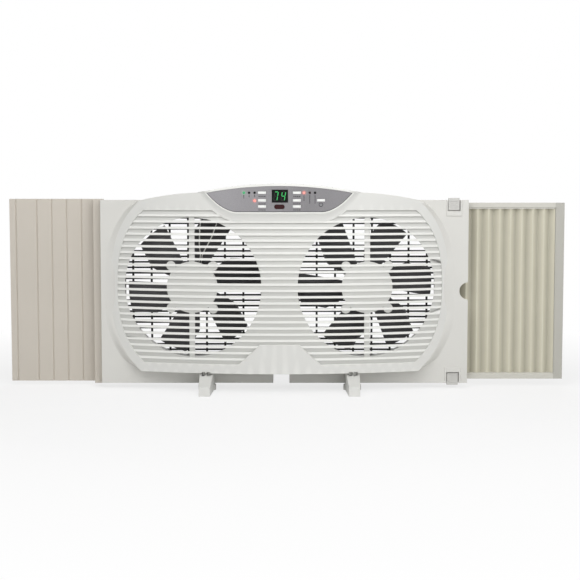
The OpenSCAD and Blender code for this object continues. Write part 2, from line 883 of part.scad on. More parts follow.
module run_capacitors() {
    color("#3c3f44") in_fans() for (side = [-1, 1])
        block([side * (cap_gap / 2 + cap_size[0] / 2) - cap_size[0] / 2,
                plate_front - cap_size[1], cover_low + cap_rise],
            [side * (cap_gap / 2 + cap_size[0] / 2) + cap_size[0] / 2,
                plate_front, cover_low + cap_rise + cap_size[2]]);
}

// insulated lead swept along its points, with a ring of eight corners at each
function along(points, i) = let (a = points[max(i - 1, 0)], b = points[min(i + 1, len(points) - 1)])
    (b - a) / norm(b - a);

module lead(points) {
    sides = 8;
    ring = [for (i = [0:len(points) - 1]) let (
        t = along(points, i),
        u = cross(t, [0, 1, 0.2]) / norm(cross(t, [0, 1, 0.2])),
        v = cross(t, u))
        for (k = [0:sides - 1]) let (a = 360 * k / sides) points[i] + lead_r * (cos(a) * u + sin(a) * v)];
    last = (len(points) - 1) * sides;
    walls = [for (i = [0:len(points) - 2], k = [0:sides - 1]) let (
        a = i * sides + k,
        b = i * sides + (k + 1) % sides)
        each [[a, a + sides, b], [b, a + sides, b + sides]]];
    caps = [for (k = [1:sides - 2]) each [[0, k, k + 1], [last, last + k + 1, last + k]]];
    polyhedron(ring, concat(walls, caps));
}

// where a lead leaves the motor, at an angle of the clock face seen from the room
function lead_start(angle) = (motor_r + 0.3) * [cos(angle), sin(angle)];

module motor_leads() {
    y = motor_front + 4;
    left = -fan_x;
    a = lead_start(75);
    b = lead_start(70);
    c = lead_start(90);
    end_y = board_front + board_t + 0.3;
    color("#eeeeea") in_fans() {
        lead([[left + a[0], y, a[1]], [left + 13.5, y - 1, 52], [left + 11.5, y - 3, 72],
            [left + 12.8, y - 3, 100], [left + 16, y - 2, 122], [left + 40, y - 6, 131],
            [board_left - 4, y - 8, plug_z - 6], [board_left + 4, end_y + 5, plug_z - 1],
            [board_left + 5, end_y, plug_z]]);
        lead([[left + b[0], y + 4, b[1]], [left + 16, y + 3, 52], [left + 20.3, y + 1, 61.3],
            [left + 27, y, 73.2], [left + 32.1, y, 83.1], [left + 40, y - 2, 104],
            [left + 48, y - 5, 121], [board_left + 7, end_y + 5, plug_z - 7],
            [board_left + 8, end_y, plug_z - 6]]);
        lead([[fan_x + c[0], y, c[1]], [fan_x, y - 2, 60], [fan_x, y - 2, 116],
            [fan_x - 20, y - 6, 128], [board_right + 4, y - 8, plug_z - 6],
            [board_right - 4, end_y + 5, plug_z - 1], [board_right - 5, end_y, plug_z]]);
    }
}

module cord_gland() {
    color("#c9c9c2") in_fans() translate([gland_x, gland_y, cover_low]) difference() {
        union() {
            translate([0, 0, -2]) cylinder(r = gland_r + 2, h = 2);
            translate([0, 0, -1]) cylinder(r = gland_r - 0.1, h = cover_wall + 1);
            translate([0, 0, cover_wall]) cylinder(r = gland_r + 1.5, h = 2);
        }
        translate([0, 0, -3]) cylinder(r = cord_bore_r, h = cover_wall + 6);
    }
}

// motor: two shells, stator, windings, bushes, rotor and shaft
module motor_shell(y0, y1, closed) {
    // closed is the Y of the end wall's outer face
    lo = closed == y0 ? y0 + shell_wall : y0 - 1;
    hi = closed == y1 ? y1 - shell_wall : y1 + 1;
    difference() {
        union() {
            bar_y(0, 0, motor_r, y0, y1);
            if (closed == y0) for (a = [45:90:315]) rotate([0, a, 0]) {
                block([motor_r - 1, motor_front, -lug_half_w], [lug_pcr, motor_front + lug_t, lug_half_w]);
                bar_y(lug_pcr, 0, lobe_r - 1.5, motor_front, motor_front + lug_t);
            }
        }
        difference() {
            bar_y(0, 0, motor_r - shell_wall, lo, hi);
            if (closed == y0) bar_y(0, 0, bush_r + 2, y0, y0 + bush_len);
            if (closed == y1) bar_y(0, 0, bush_r + 2, y1 - bush_len, y1);
        }
        bar_y(0, 0, bush_r, y0 - 1, y1 + 1);
        if (closed == y0) lug_holes(motor_front - 1, motor_front + lug_t + 1, screw_r + 0.2);
        for (a = [0:45:315]) bar_y(28 * cos(a + 22.5), 28 * sin(a + 22.5), 4, closed - 3, closed + 3);
    }
}

module at_fan(side) {
    in_fans() translate([side * fan_x, 0, 0]) children();
}

module motor_front_shell(side) {
    color("#9b9da0") at_fan(side) motor_shell(motor_front, motor_split, motor_front);
}

module motor_rear_shell(side) {
    color("#9b9da0") at_fan(side) motor_shell(motor_split, motor_back, motor_back);
}

module stator(side) {
    slots = 8;
    color("#7c7f86") at_fan(side) difference() {
        bar_y(0, 0, stator_r, stator_front, stator_front + stator_len);
        bar_y(0, 0, rotor_r + air_gap, stator_front - 1, stator_front + stator_len + 1);
        for (k = [0:slots - 1]) rotate([0, k * 360 / slots, 0]) {
            block([rotor_r, stator_front - 1, -1.5], [28, stator_front + stator_len + 1, 1.5]);
            bar_y(28, 0, 3, stator_front - 1, stator_front + stator_len + 1);
        }
    }
}

module windings(side) {
    color("#b4652b") at_fan(side) {
        for (y = [stator_front - 3.6, stator_front + stator_len]) difference() {
            bar_y(0, 0, coil_out_r, y, y + 3.6);
            bar_y(0, 0, coil_in_r, y - 1, y + 5);
        }
    }
}

module bushes(side) {
    color("#b08d57") at_fan(side) for (y = [motor_front, motor_back - bush_len]) difference() {
        bar_y(0, 0, bush_r, y, y + bush_len);
        bar_y(0, 0, shaft_r + bush_clearance, y - 1, y + bush_len + 1);
    }
}

module rotor(side) {
    color("#8f9297") at_fan(side) difference() {
        union() {
            bar_y(0, 0, rotor_r, stator_front, stator_front + stator_len);
            bar_y(0, 0, rotor_r - 4, stator_front - 0.8, stator_front + stator_len + 0.6);
        }
        bar_y(0, 0, shaft_r, stator_front - 2, stator_front + stator_len + 2);
    }
}

module shaft(side) {
    color("#c4c6c8") at_fan(side) bar_y(0, 0, shaft_r, shaft_front, shaft_back);
}

// outline of one blade in polar steps: one straight edge, a round tip corner, a swept edge
module blade_outline() {
    root_angle = 45;
    tip_angle = 36;
    corner = 16;
    steps = 14;
    root = blade_hub_r - 3;
    swept = [for (i = [0:steps]) let (
        r = root + (blade_r - root) * sin(90 * i / steps),
        near_tip = max(r - (blade_r - corner), 0) / corner,
        angle = root_angle - (root_angle - tip_angle) * (r - root) / (blade_r - root)
            - (1 - sqrt(1 - near_tip * near_tip)) * 9)
        [r * cos(angle), r * sin(angle)]];
    tip = [for (i = [1:8]) let (angle = (tip_angle - 9) * (1 - i / 8))
        [blade_r * cos(angle), blade_r * sin(angle)]];
    polygon(concat(swept, tip, [[root, 0]]));
}

module blade(side, turn) {
    camber_r = 95;
    color("#4b494b") at_fan(side) difference() {
        union() {
            for (k = [0:blade_count - 1]) rotate([0, -(turn + k * 360 / blade_count), 0])
                intersection() {
                    slab(blade_front, blade_back) blade_outline();
                    cambered_sheet(camber_r);
                }
            difference() {
                bar_y(0, 0, blade_hub_r, blade_front, blade_back);
                bar_y(0, 0, blade_hub_r - 2.5, blade_front - 1, blade_back - 2.5);
            }
            bar_y(0, 0, shaft_r + 4, blade_front, blade_back);
            for (a = [0:60:300]) rotate([0, a, 0])
                block([shaft_r + 2, blade_front + 4, -1], [blade_hub_r - 1, blade_back - 1, 1]);
        }
        bar_y(0, 0, shaft_r, blade_front - 1, blade_back + 1);
    }
}

// curved sheet whose lines run out along the blade, rising from the front edge to the back edge
module cambered_sheet(camber_r) {
    sweep = 22;
    pitch = 27;
    translate([0, (blade_front + blade_back) / 2, 27]) rotate([pitch, 0, 0]) translate([0, -camber_r + 1, 0])
        rotate([0, 90, 0]) difference() {
            cylinder(r = camber_r + blade_t / 2, h = blade_r + sweep, $fn = 360);
            translate([0, 0, -1]) cylinder(r = camber_r - blade_t / 2, h = blade_r + sweep + 2, $fn = 360);
        }
}

module blade_nut(side) {
    color("#3b3b3d") at_fan(side) difference() {
        union() {
            bar_y(0, 0, nut_r, blade_back, blade_back + nut_t);
            for (a = [0:60:300]) rotate([0, a, 0])
                block([nut_r - 1, blade_back, -1], [nut_r + 1.2, blade_back + nut_t, 1]);
        }
        bar_y(0, 0, shaft_r, blade_back - 1, blade_back + nut_t + 1);
    }
}

module motor_front_left() { motor_front_shell(-1); }
module motor_front_right() { motor_front_shell(1); }
module motor_rear_left() { motor_rear_shell(-1); }
module motor_rear_right() { motor_rear_shell(1); }
module stator_left() { stator(-1); }
module stator_right() { stator(1); }
module windings_left() { windings(-1); }
module windings_right() { windings(1); }
module bushes_left() { bushes(-1); }
module bushes_right() { bushes(1); }
module rotor_left() { rotor(-1); }
module rotor_right() { rotor(1); }
module shaft_left() { shaft(-1); }
module shaft_right() { shaft(1); }
module blade_left() { blade(-1, blade_turn_left); }
module blade_right() { blade(1, blade_turn_right); }
module blade_nut_left() { blade_nut(-1); }
module blade_nut_right() { blade_nut(1); }

// side screen: a U-shaped frame on two rails, and the pleated sheet inside it
module screen_frame() {
    bevel = 3;
    color("#bcbbb3") in_frame() {
        for (z = [[screen_low, 1], [screen_high - rail_h, -1]])
            difference() {
                block([rail_inner, screen_front, z[0]], [reach_right, screen_back, z[0] + rail_h]);
                // stepped inner edge of the rail
                block([rail_inner - 1, screen_front - 1, z[1] > 0 ? z[0] + rail_h - 2 : z[0] - 1],
                    [reach_right - end_bar_w, screen_front + 1.5,
                        z[1] > 0 ? z[0] + rail_h + 1 : z[0] + 2]);
            }
        difference() {
            slab_z([[reach_right - end_bar_w, screen_back], [reach_right - end_bar_w, screen_front + 1.5],
                [reach_right - end_bar_w + 4, screen_front], [reach_right, screen_front],
                [reach_right, screen_back]], screen_low + rail_h - 1, screen_high - rail_h + 1);
            // grip hollow along the back of the end bar
            block([reach_right - end_bar_w + bevel, screen_back - 5, screen_low + rail_h + 10],
                [reach_right - bevel, screen_back + 1, screen_high - rail_h - 10]);
        }
    }
}

// a flat outline in X and Y, drawn up along Z
module slab_z(points, z0, z1) {
    translate([0, 0, z0]) linear_extrude(z1 - z0) polygon(points);
}

module screen_pleats() {
    mid = (screen_front + screen_back) / 2;
    step = (pleat_end - pleat_start) / (2 * pleat_count);
    front = [for (i = [0:2 * pleat_count])
        [pleat_start + i * step, mid + (i % 2 == 0 ? 1 : -1) * pleat_depth / 2 - sheet_t / 2]];
    back = [for (i = [2 * pleat_count:-1:0]) [front[i][0], front[i][1] + sheet_t]];
    color("#b9b5a4") in_frame() slab_z(concat(front, back), screen_low + rail_h + slip,
        screen_high - rail_h - slip);
}

// clip-on side panel of upright slats, and the strip that hooks it to the frame
function groove_places() = let (start = slat_first + slat_second,
    room = reach_left - frame_left - strip_w - slat_gap)
    concat([slat_first], [for (x = [start:slat_pitch:room]) x]);

module slat_panel() {
    left = -reach_left;
    right = -frame_left - strip_w;
    depth = 2;
    color("#c4beb2") in_frame() difference() {
        union() {
            block([left, slat_front, slat_low], [right, slat_front + slat_t, slat_high]);
            block([left, slat_front, slat_low], [left + 3, slat_front + slat_t + 4, slat_high]);
        }
        for (x = groove_places()) slab_z([[left + x - slat_gap / 2, slat_front - 0.01],
            [left + x + slat_gap / 2, slat_front - 0.01], [left + x, slat_front + depth]],
            slat_low - 1, slat_high + 1);
    }
}

module panel_strip() {
    left = -frame_left - strip_w;
    low = frame_bottom - strip_drop;
    color("#c5beb7") in_frame() {
        difference() {
            block([left, strip_front, low], [-frame_left - slip, slat_front + slat_t + 2, slat_high]);
            block([left + 2.5, strip_front + 2.5, low - 1],
                [-frame_left - 2.5 - slip, slat_front + slat_t - 1, slat_high + 1]);
        }
        for (z = tongue_levels) block(
            [-frame_left - 2.5 - slip, tongue_y(), frame_bottom + z - tongue_h / 2],
            [-frame_left + tongue_len, tongue_y() + tongue_t, frame_bottom + z + tongue_h / 2]);
    }
}

// clip-on foot: sloped nose in front, low runner behind, round pad on the way, two hooks on top
module foot(side) {
    half = foot_len / 2;
    top = foot_top;
    color("#dcdcdb") in_frame() translate([side * foot_x, 0, 0]) difference() {
        foot_body(half, top);
        for (y = [-half + pad_inset, half - pad_inset]) translate([0, y, -1])
            cylinder(r = pad_r, h = pad_t + 1);
        // channels in which the hooks stand
        difference() {
            for (k = [-0.5, 0.5])
                block([k * prong_gap - clip_slot / 2, -half, top - channel_depth],
                    [k * prong_gap + clip_slot / 2, clip_y + prong_t + 1, top + prong_h + 1]);
            hooks(top);
        }
    }
}

module hooks(top) {
    for (k = [-0.5, 0.5])
        block([k * prong_gap - prong_w / 2, clip_y, top - channel_depth - 1],
            [k * prong_gap + prong_w / 2, clip_y + prong_t, top + prong_h]);
}

module foot_body(half, top) {
    union() {
        intersection() {
            rotate([90, 0, 90]) translate([0, 0, -foot_top_w / 2]) linear_extrude(foot_top_w)
                polygon([[-half, 0], [-half, nose_h], [-half + slope_back, top],
                    [plate_front - 1.5, top], [plate_front - 1.5, foot_rear_h],
                    [half - 4, foot_rear_h], [half, foot_rear_h - 4], [half, 0]]);
            translate([0, 0, -1]) linear_extrude(top + 2)
                polygon([[-foot_w / 2, -half], [foot_w / 2, -half], [foot_top_w / 2, -half + slope_back],
                    [foot_top_w / 2, 0], [foot_w / 2, half], [-foot_w / 2, half],
                    [-foot_top_w / 2, 0], [-foot_top_w / 2, -half + slope_back]]);
        }
        cylinder(r = puck_r, h = foot_rear_h);
        hooks(top);
    }
}

module foot_left() { foot(-1); }
module foot_right() { foot(1); }

// two rubber pads let into the underside of each foot
module foot_pads(side) {
    color("#4a4a48") in_frame() for (y = [-foot_len / 2 + pad_inset, foot_len / 2 - pad_inset])
        translate([side * foot_x, y, 0]) cylinder(r = pad_r, h = pad_t);
}

module foot_pads_left() { foot_pads(-1); }
module foot_pads_right() { foot_pads(1); }

mounting_frame();
fan_housing();
front_cover();
head_back();
rear_grille();
control_plate();
display_window();
receiver_window();
indicator_lenses();
control_board();
board_parts();
run_capacitors();
motor_leads();
cord_gland();
cover_screws();
grille_screws();
motor_screws();
button_left_top();
button_left_middle();
button_left_bottom();
button_right_top();
button_right_middle();
button_right_bottom();
button_power();
motor_front_left();
motor_front_right();
motor_rear_left();
motor_rear_right();
stator_left();
stator_right();
windings_left();
windings_right();
bushes_left();
bushes_right();
rotor_left();
rotor_right();
shaft_left();
shaft_right();
blade_left();
blade_right();
blade_nut_left();
blade_nut_right();
screen_frame();
screen_pleats();
slat_panel();
panel_strip();
lock_top();
lock_bottom();
foot_left();
foot_right();
foot_pads_left();
foot_pads_right();
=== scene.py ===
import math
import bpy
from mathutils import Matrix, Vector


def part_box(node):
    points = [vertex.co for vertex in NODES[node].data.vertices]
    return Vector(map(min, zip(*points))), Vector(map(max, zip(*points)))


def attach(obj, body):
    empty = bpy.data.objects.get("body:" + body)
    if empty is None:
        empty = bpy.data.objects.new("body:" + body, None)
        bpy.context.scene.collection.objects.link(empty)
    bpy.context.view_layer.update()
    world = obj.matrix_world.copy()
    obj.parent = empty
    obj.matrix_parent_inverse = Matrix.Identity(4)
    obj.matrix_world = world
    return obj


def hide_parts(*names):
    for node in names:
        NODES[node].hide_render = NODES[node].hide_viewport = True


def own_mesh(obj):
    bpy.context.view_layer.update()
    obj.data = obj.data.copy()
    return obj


bl_info = {
    "name": "Twin window fan",
    "version": (1, 0, 0),
    "blender": (4, 5, 0),
    "location": "View3D > Sidebar > Window fan",
    "description": "Dresses a twin window fan: mouldings, blades, controls, pleated side screen and studio",
    "category": "Object",
}

import bmesh
import bpy
from mathutils import Matrix, Vector

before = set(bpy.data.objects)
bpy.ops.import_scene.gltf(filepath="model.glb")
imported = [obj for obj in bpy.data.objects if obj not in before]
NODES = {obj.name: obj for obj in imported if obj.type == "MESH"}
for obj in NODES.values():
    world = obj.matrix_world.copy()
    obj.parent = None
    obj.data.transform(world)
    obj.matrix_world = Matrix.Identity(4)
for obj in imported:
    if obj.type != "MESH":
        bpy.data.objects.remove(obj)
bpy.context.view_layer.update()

# the front cover's face is part of an upright cylinder of the radius BOW_R, whose axis is at FANS_X, BOW_Y
FANS_X = sum(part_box("rear_grille")[k].x for k in (0, 1)) / 2
BOW_R, BOW_Y = 0.73908, 0.69558
# the control plate's lower edge, and how far its face and the rim round it stand in front of the cover's
PLATE_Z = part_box("control_plate")[0].z
PLATE_PROUD, RIM_PROUD = 0.003, 0.0035
# half widths of the control plate and of the rim, and half the straight part of their lower edges
PLATE_HALF, RIM_HALF, STRAIGHT = 0.1205, 0.134, 0.07
# how far the rim's lower edge lies below the plate's, how high the plate's ends stand above its lower edge
# and how much higher the rim's do, and the power of the curve that leads up to them
RIM_DROP, END_RISE, RIM_RISE, EDGE_POWER = 0.0123, 0.0312, 0.001, 1.85
# the cover's rounded outline: half axes, middle height, ends of its sides, and the frame's front behind it
SIDE_A, SIDE_B, SIDE_POWER, AXIS_Z = 0.287, 0.203, 2.6, 0.176
SIDE_LOW, SIDE_TOP, FRAME_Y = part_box("front_cover")[0].z, 0.321, 0.0145
# thickness of the skins laid over the mouldings
SKIN = 0.0008
# the fans' axes, left and right
FAN_AXES = {"left": -0.156, "right": 0.136}
# on the control head, x from the fans' middle and z above the plate's lower edge: the rows of the lamps, and
# the three lamps that are lit
LAMP_ROW, LOW_LAMP = 0.0317, 0.0187
GREEN_AT, LEFT_RED_AT, RIGHT_RED_AT = (-0.0585, LAMP_ROW), (-0.0407, LOW_LAMP), (0.0404, LAMP_ROW)
# how thick printed ink stands, and how deep it starts in the paint
INK, INK_SUNK = 0.00008, 0.00003
# a Wave texture's own period, in units at a scale of 1
WAVE = 0.314


def srgb(code, alpha=1.0):
    """An sRGB hex value as linear RGBA."""
    values = [int(code[k : k + 2], 16) / 255 for k in (1, 3, 5)]
    return tuple(v / 12.92 if v <= 0.04045 else ((v + 0.055) / 1.055) ** 2.4 for v in values) + (alpha,)


# ---------------------------------------------------------------- settings


class FanSizes(bpy.types.PropertyGroup):
    """Sizes of what is modelled here"""

    edge: bpy.props.FloatProperty(
        name="Edge radius", description="Rounding of moulded edges",
        default=0.0005, unit="LENGTH", precision=5,
    )
    pleats: bpy.props.IntProperty(
        name="Pleats", description="Folds of the side screen",
        default=10, min=4, max=20,
    )
    fold: bpy.props.FloatProperty(
        name="Fold radius", description="Rounding of a fold",
        default=0.0011, unit="LENGTH", precision=5,
    )
    film: bpy.props.FloatProperty(
        name="Film thickness", description="Thickness of the pleated film",
        default=0.0006, unit="LENGTH", precision=5,
    )
    lens: bpy.props.FloatProperty(
        name="Lens radius", description="Radius of an indicator lens",
        default=0.0019, unit="LENGTH", precision=5,
    )
    digit_height: bpy.props.FloatProperty(
        name="Digit height", description="Height of a display digit",
        default=0.014, unit="LENGTH", precision=4,
    )
    digit_width: bpy.props.FloatProperty(
        name="Digit width", description="Width of a display digit",
        default=0.0056, unit="LENGTH", precision=4,
    )
    digit_bar: bpy.props.FloatProperty(
        name="Digit bar", description="Width of a digit's bars",
        default=0.0014, unit="LENGTH", precision=5,
    )


class FanColours(bpy.types.PropertyGroup):
    """Colours of the finishes"""

    cover: bpy.props.FloatVectorProperty(
        name="Cover", description="Moulded front cover", subtype="COLOR", size=4, default=srgb("#dededa")
    )
    frame: bpy.props.FloatVectorProperty(
        name="Frame", description="Moulded frame plate", subtype="COLOR", size=4, default=srgb("#d9d8d3")
    )
    blades: bpy.props.FloatVectorProperty(
        name="Blades", description="Moulded fan blades", subtype="COLOR", size=4, default=srgb("#5b5a5c")
    )
    panel: bpy.props.FloatVectorProperty(
        name="Side panel", description="Slatted side panel", subtype="COLOR", size=4, default=srgb("#cdc6bb")
    )
    film: bpy.props.FloatVectorProperty(
        name="Pleats", description="Pleated film of the side screen",
        subtype="COLOR", size=4, default=srgb("#cfcbb9"),
    )
    plate: bpy.props.FloatVectorProperty(
        name="Control plate", description="Silver paint of the control plate",
        subtype="COLOR", size=4, default=srgb("#979598"),
    )
    digits: bpy.props.FloatVectorProperty(
        name="Digits", description="Light of the display's digits",
        subtype="COLOR", size=4, default=srgb("#3fd06c"),
    )


# ---------------------------------------------------------------- modelling helpers


def deselect():
    """Leaves nothing selected."""
    bpy.ops.object.select_all(action="DESELECT")


def pick(*pieces):
    """Makes these pieces the selected ones, and the first of them the active one."""
    deselect()
    for piece in pieces:
        piece.hide_set(False)
        piece.select_set(True)
    bpy.context.view_layer.objects.active = pieces[0]


def started(shape, **settings):
    """A primitive at its size and place, alone in the selection."""
    deselect()
    getattr(bpy.ops.mesh, "primitive_" + shape + "_add")(**settings)
    return bpy.context.object


def settled(piece):
    """Puts the object's place, turn and scale into its mesh."""
    pick(piece)
    bpy.ops.object.transform_apply(location=True, rotation=True, scale=True)


def middle(item):
    """The middle of a mesh corner, edge or face."""
    corners = [item] if isinstance(item, bmesh.types.BMVert) else item.verts
    return sum((c.co for c in corners), Vector()) / len(corners)


def choose(piece, kind, test):
    """In edit mode, selects only the corners, edges or faces (VERT, EDGE, FACE) that pass the test."""
    bpy.ops.mesh.select_mode(type=kind)
    bpy.ops.mesh.select_all(action="DESELECT")
    mesh = bmesh.from_edit_mesh(piece.data)
    for item in {"VERT": mesh.verts, "EDGE": mesh.edges, "FACE": mesh.faces}[kind]:
        if test(item):
            item.select_set(True)
    bmesh.update_edit_mesh(piece.data)


def drawn_out(by):
    """In edit mode, extrudes what is selected by this vector."""
    bpy.ops.mesh.extrude_region_move(TRANSFORM_OT_translate={"value": by})


def faced_out():
    """In edit mode, turns all faces outwards, and leaves edit mode."""
    bpy.ops.mesh.select_all(action="SELECT")
    bpy.ops.mesh.normals_make_consistent(inside=False)
    bpy.ops.object.mode_set(mode="OBJECT")


def applied(piece, kind, name, **settings):
    """Adds a modifier with its settings and applies it."""
    pick(piece)
    bpy.ops.object.modifier_add(type=kind)
    modifier = piece.modifiers[-1]
    modifier.name = name
    for key, value in settings.items():
        setattr(modifier, key, value)
    bpy.ops.object.modifier_apply(modifier=modifier.name)


def copy_to(piece, place, material=None):
    """A copy with its own mesh, at a place given as a matrix."""
    twin = piece.copy()
    twin.data = piece.data.copy()
    bpy.context.scene.collection.objects.link(twin)
    twin.matrix_world = place
    if material:
        twin.data.materials.clear()
        twin.data.materials.append(material)
    return twin


def joined(pieces):
    """Several pieces as one."""
    for piece in pieces:
        settled(piece)
    pick(*pieces)
    bpy.ops.object.join()
    return bpy.context.object


def finished(piece, name, body, material=None, stands_for=()):
    """Puts the piece's place into its mesh, names it and hangs it on its body."""
    settled(piece)
    piece.name = piece.data.name = name
    if material:
        piece.data.materials.clear()
        piece.data.materials.append(material)
    if stands_for:
        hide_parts(*stands_for)
    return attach(piece, body)


def welded(node):
    """Shades a CAD node smoothly and joins its loose triangles with a modifier that stays on it."""
    node.data.polygons.foreach_set("use_smooth", [True] * len(node.data.polygons))
    weld = node.modifiers.new("Weld corners", "WELD")
    weld.merge_threshold = 1e-5


def soft_edges(node, width, angle=32, merge=0.05):
    """Rounds a moulding's edges with modifiers that stay on it: those that turn by more than angle degrees,
    once the faces that turn by less than merge degrees are one."""
    welded(node)
    flat = node.modifiers.new("Merge flat faces", "DECIMATE")
    flat.decimate_type = "DISSOLVE"
    flat.angle_limit = math.radians(merge)
    bevel = node.modifiers.new("Moulded edges", "BEVEL")
    bevel.width = width
    bevel.segments = 2
    bevel.limit_method = "ANGLE"
    bevel.angle_limit = math.radians(angle)
    bevel.use_clamp_overlap = False
    even = node.modifiers.new("Even shading", "WEIGHTED_NORMAL")
    even.keep_sharp = False


def dress(material, *names, edge=0.0, angle=32):
    """Gives CAD nodes their finish, and rounded edges where edge is above 0."""
    for name in names:
        node = NODES[name]
        node.data.materials.clear()
        node.data.materials.append(material)
        if edge > 0:
            soft_edges(node, edge, angle)


def on_head(x, z, proud=PLATE_PROUD):
    """Where something lies on the control head's bowed face: x from the fans' middle, z above the plate's
    lower edge. A flat piece drawn in X and Y comes to stand there, facing the front."""
    turn = math.asin(x / (BOW_R + proud))
    place = Vector((FANS_X + x, BOW_Y - (BOW_R + proud) * math.cos(turn), PLATE_Z + z))
    return Matrix.Translation(place) @ Matrix.Rotation(turn, 4, "Z") @ Matrix.Rotation(math.pi / 2, 4, "X")


def head_half(spread):
    """Half width of the control head: spread is 0 on the plate's edge and 1 on the rim's outer edge."""
    return PLATE_HALF + (RIM_HALF - PLATE_HALF) * spread


def lower_edge(x, spread):
    """Height of the control head's boat-shaped outline above the plate's lower edge."""
    low, end = -RIM_DROP * spread, END_RISE + RIM_RISE * spread
    return low + (end - low) * (max(0.0, abs(x) - STRAIGHT) / (head_half(spread) - STRAIGHT)) ** EDGE_POWER


def along_head(rows, spread_from, spread_to, proud_at):
    """A skin along the control head's lower outline. proud_at gives how far its face stands in front of the
    cover's, for each spread."""
    skin = started("grid", x_subdivisions=120, y_subdivisions=rows, size=2)
    for corner in skin.data.vertices:
        share, spread = abs(corner.co.x), spread_from + (spread_to - spread_from) * (1 - corner.co.y) / 2
        # half of the columns stand on the straight part
        x = min(share / 0.5, 1) * STRAIGHT + max(share / 0.5 - 1, 0) * (head_half(spread) - STRAIGHT)
        x = math.copysign(x, corner.co.x)
        reach = BOW_R + proud_at(spread)
        corner.co = (FANS_X + x, BOW_Y - math.sqrt(reach**2 - x**2), PLATE_Z + lower_edge(x, spread))
    applied(skin, "SOLIDIFY", "Skin thickness", thickness=SKIN, offset=-1)
    pick(skin)
    bpy.ops.object.shade_smooth_by_angle(angle=math.radians(40))
    return skin


def beside_cover(side):
    """The soft hollow in which one side of the front cover goes over into the frame, as a skin."""
    skin = started("grid", x_subdivisions=14, y_subdivisions=90, size=2)
    tall, wide, wider_below = SIDE_TOP - SIDE_LOW, 0.011, 0.006
    # a step lower than this is nearly flat: there the skin starts farther in on the cover's face
    low_step, lap, flat_lap = 0.0008, 0.0003, 0.0077
    low_end, top_end = 0.02, 0.014
    # it starts a hair above the cover's face and ends just under the frame's; fuller is for a high step
    lift, sunk, fuller = 0.00005, 0.0002, 1.4
    for corner in skin.data.vertices:
        share = (corner.co.x + 1) / 2
        z = SIDE_LOW + tall * (corner.co.y + 1) / 2
        edge = SIDE_A * (1 - abs((z - AXIS_Z) / SIDE_B) ** SIDE_POWER) ** (1 / SIDE_POWER)
        step = FRAME_Y - BOW_Y + math.sqrt(BOW_R**2 - edge**2)
        flat = max(0.0, 1 - step / low_step)
        # it runs out towards the top and the bottom, where the cover's edge is crisp
        ends = min(1.0, (z - SIDE_LOW) / low_end, (SIDE_TOP - z) / top_end) ** 0.5
        start = edge - lap - flat_lap * flat
        width = edge - start + ends * (wide + wider_below * (SIDE_TOP - z) / tall)
        high = FRAME_Y - BOW_Y + math.sqrt(BOW_R**2 - start**2) + lift
        fall = (1 - share) ** 2 * (1 + fuller * (1 - flat) * share)
        corner.co = (FANS_X + side * (start + width * share), FRAME_Y + sunk * share - high * fall, z)
    applied(skin, "SOLIDIFY", "Skin thickness", thickness=SKIN, offset=-side)
    return skin


# ---------------------------------------------------------------- materials


def add(tree, kind, into=None, **settings):
    """One shader node with its settings; into gives each input a value or a link."""
    node = tree.nodes.new("ShaderNode" + kind)
    for key, value in settings.items():
        setattr(node, key, value)
    for key, value in (into or {}).items():
        if isinstance(value, bpy.types.NodeSocket):
            tree.links.new(value, node.inputs[key])
        else:
            node.inputs[key].default_value = value
    return node


def blank(name):
    """A new material: its empty tree, its output and the place on the object that its patterns follow."""
    material = bpy.data.materials.new(name)
    material.use_nodes = True
    tree = material.node_tree
    tree.nodes.clear()
    return material, tree, add(tree, "OutputMaterial"), add(tree, "TexCoord").outputs["Object"]


def stepped(tree, value, *steps):
    """A factor that follows a value: each step gives where it starts and ends, and the factors there."""
    factor = None
    for start, end, first, last in steps:
        ends = {"From Min": start, "From Max": end, "To Min": first, "To Max": last}
        part = add(tree, "MapRange", {"Value": value, **ends})
        if factor is None:
            factor = part
        else:
            factor = add(tree, "Math", {0: factor.outputs[0], 1: part.outputs[0]}, operation="MULTIPLY")
    return factor.outputs[0]


def along(axis, *steps):
    """A tone that changes along the object's X, Y or Z."""
    return lambda tree, place: stepped(tree, add(tree, "SeparateXYZ", {0: place}).outputs[axis], *steps)


def grille_painted_light_and_shade(tree, place):
    """Painted highlights and shade: the grille's ridges and the head's lip are painted lighter than the face,
    the grooves' grounds darker.
    """
    inward = add(tree, "VectorMath", {0: place, 1: (FANS_X, BOW_Y, 0)}, operation="SUBTRACT")
    level = add(tree, "VectorMath", {0: inward.outputs["Vector"], 1: (1, 1, 0)}, operation="MULTIPLY")
    radius = add(tree, "VectorMath", {0: level.outputs["Vector"]}, operation="LENGTH").outputs["Value"]
    light, dark, lip = 1.17, 0.9, 1.2
    # painted shade and highlights, from the grooves' grounds outwards: to the ridges, to the face a hair in
    # front of them, and to the lip
    return stepped(
        tree,
        radius,
        (BOW_R - 0.0012, BOW_R - 0.0006, dark, light),
        (BOW_R - 0.00009, BOW_R - 0.00003, 1.0, 1 / light),
        (BOW_R + RIM_PROUD - 0.0004, BOW_R + RIM_PROUD - 0.0001, 1.0, lip),
    )


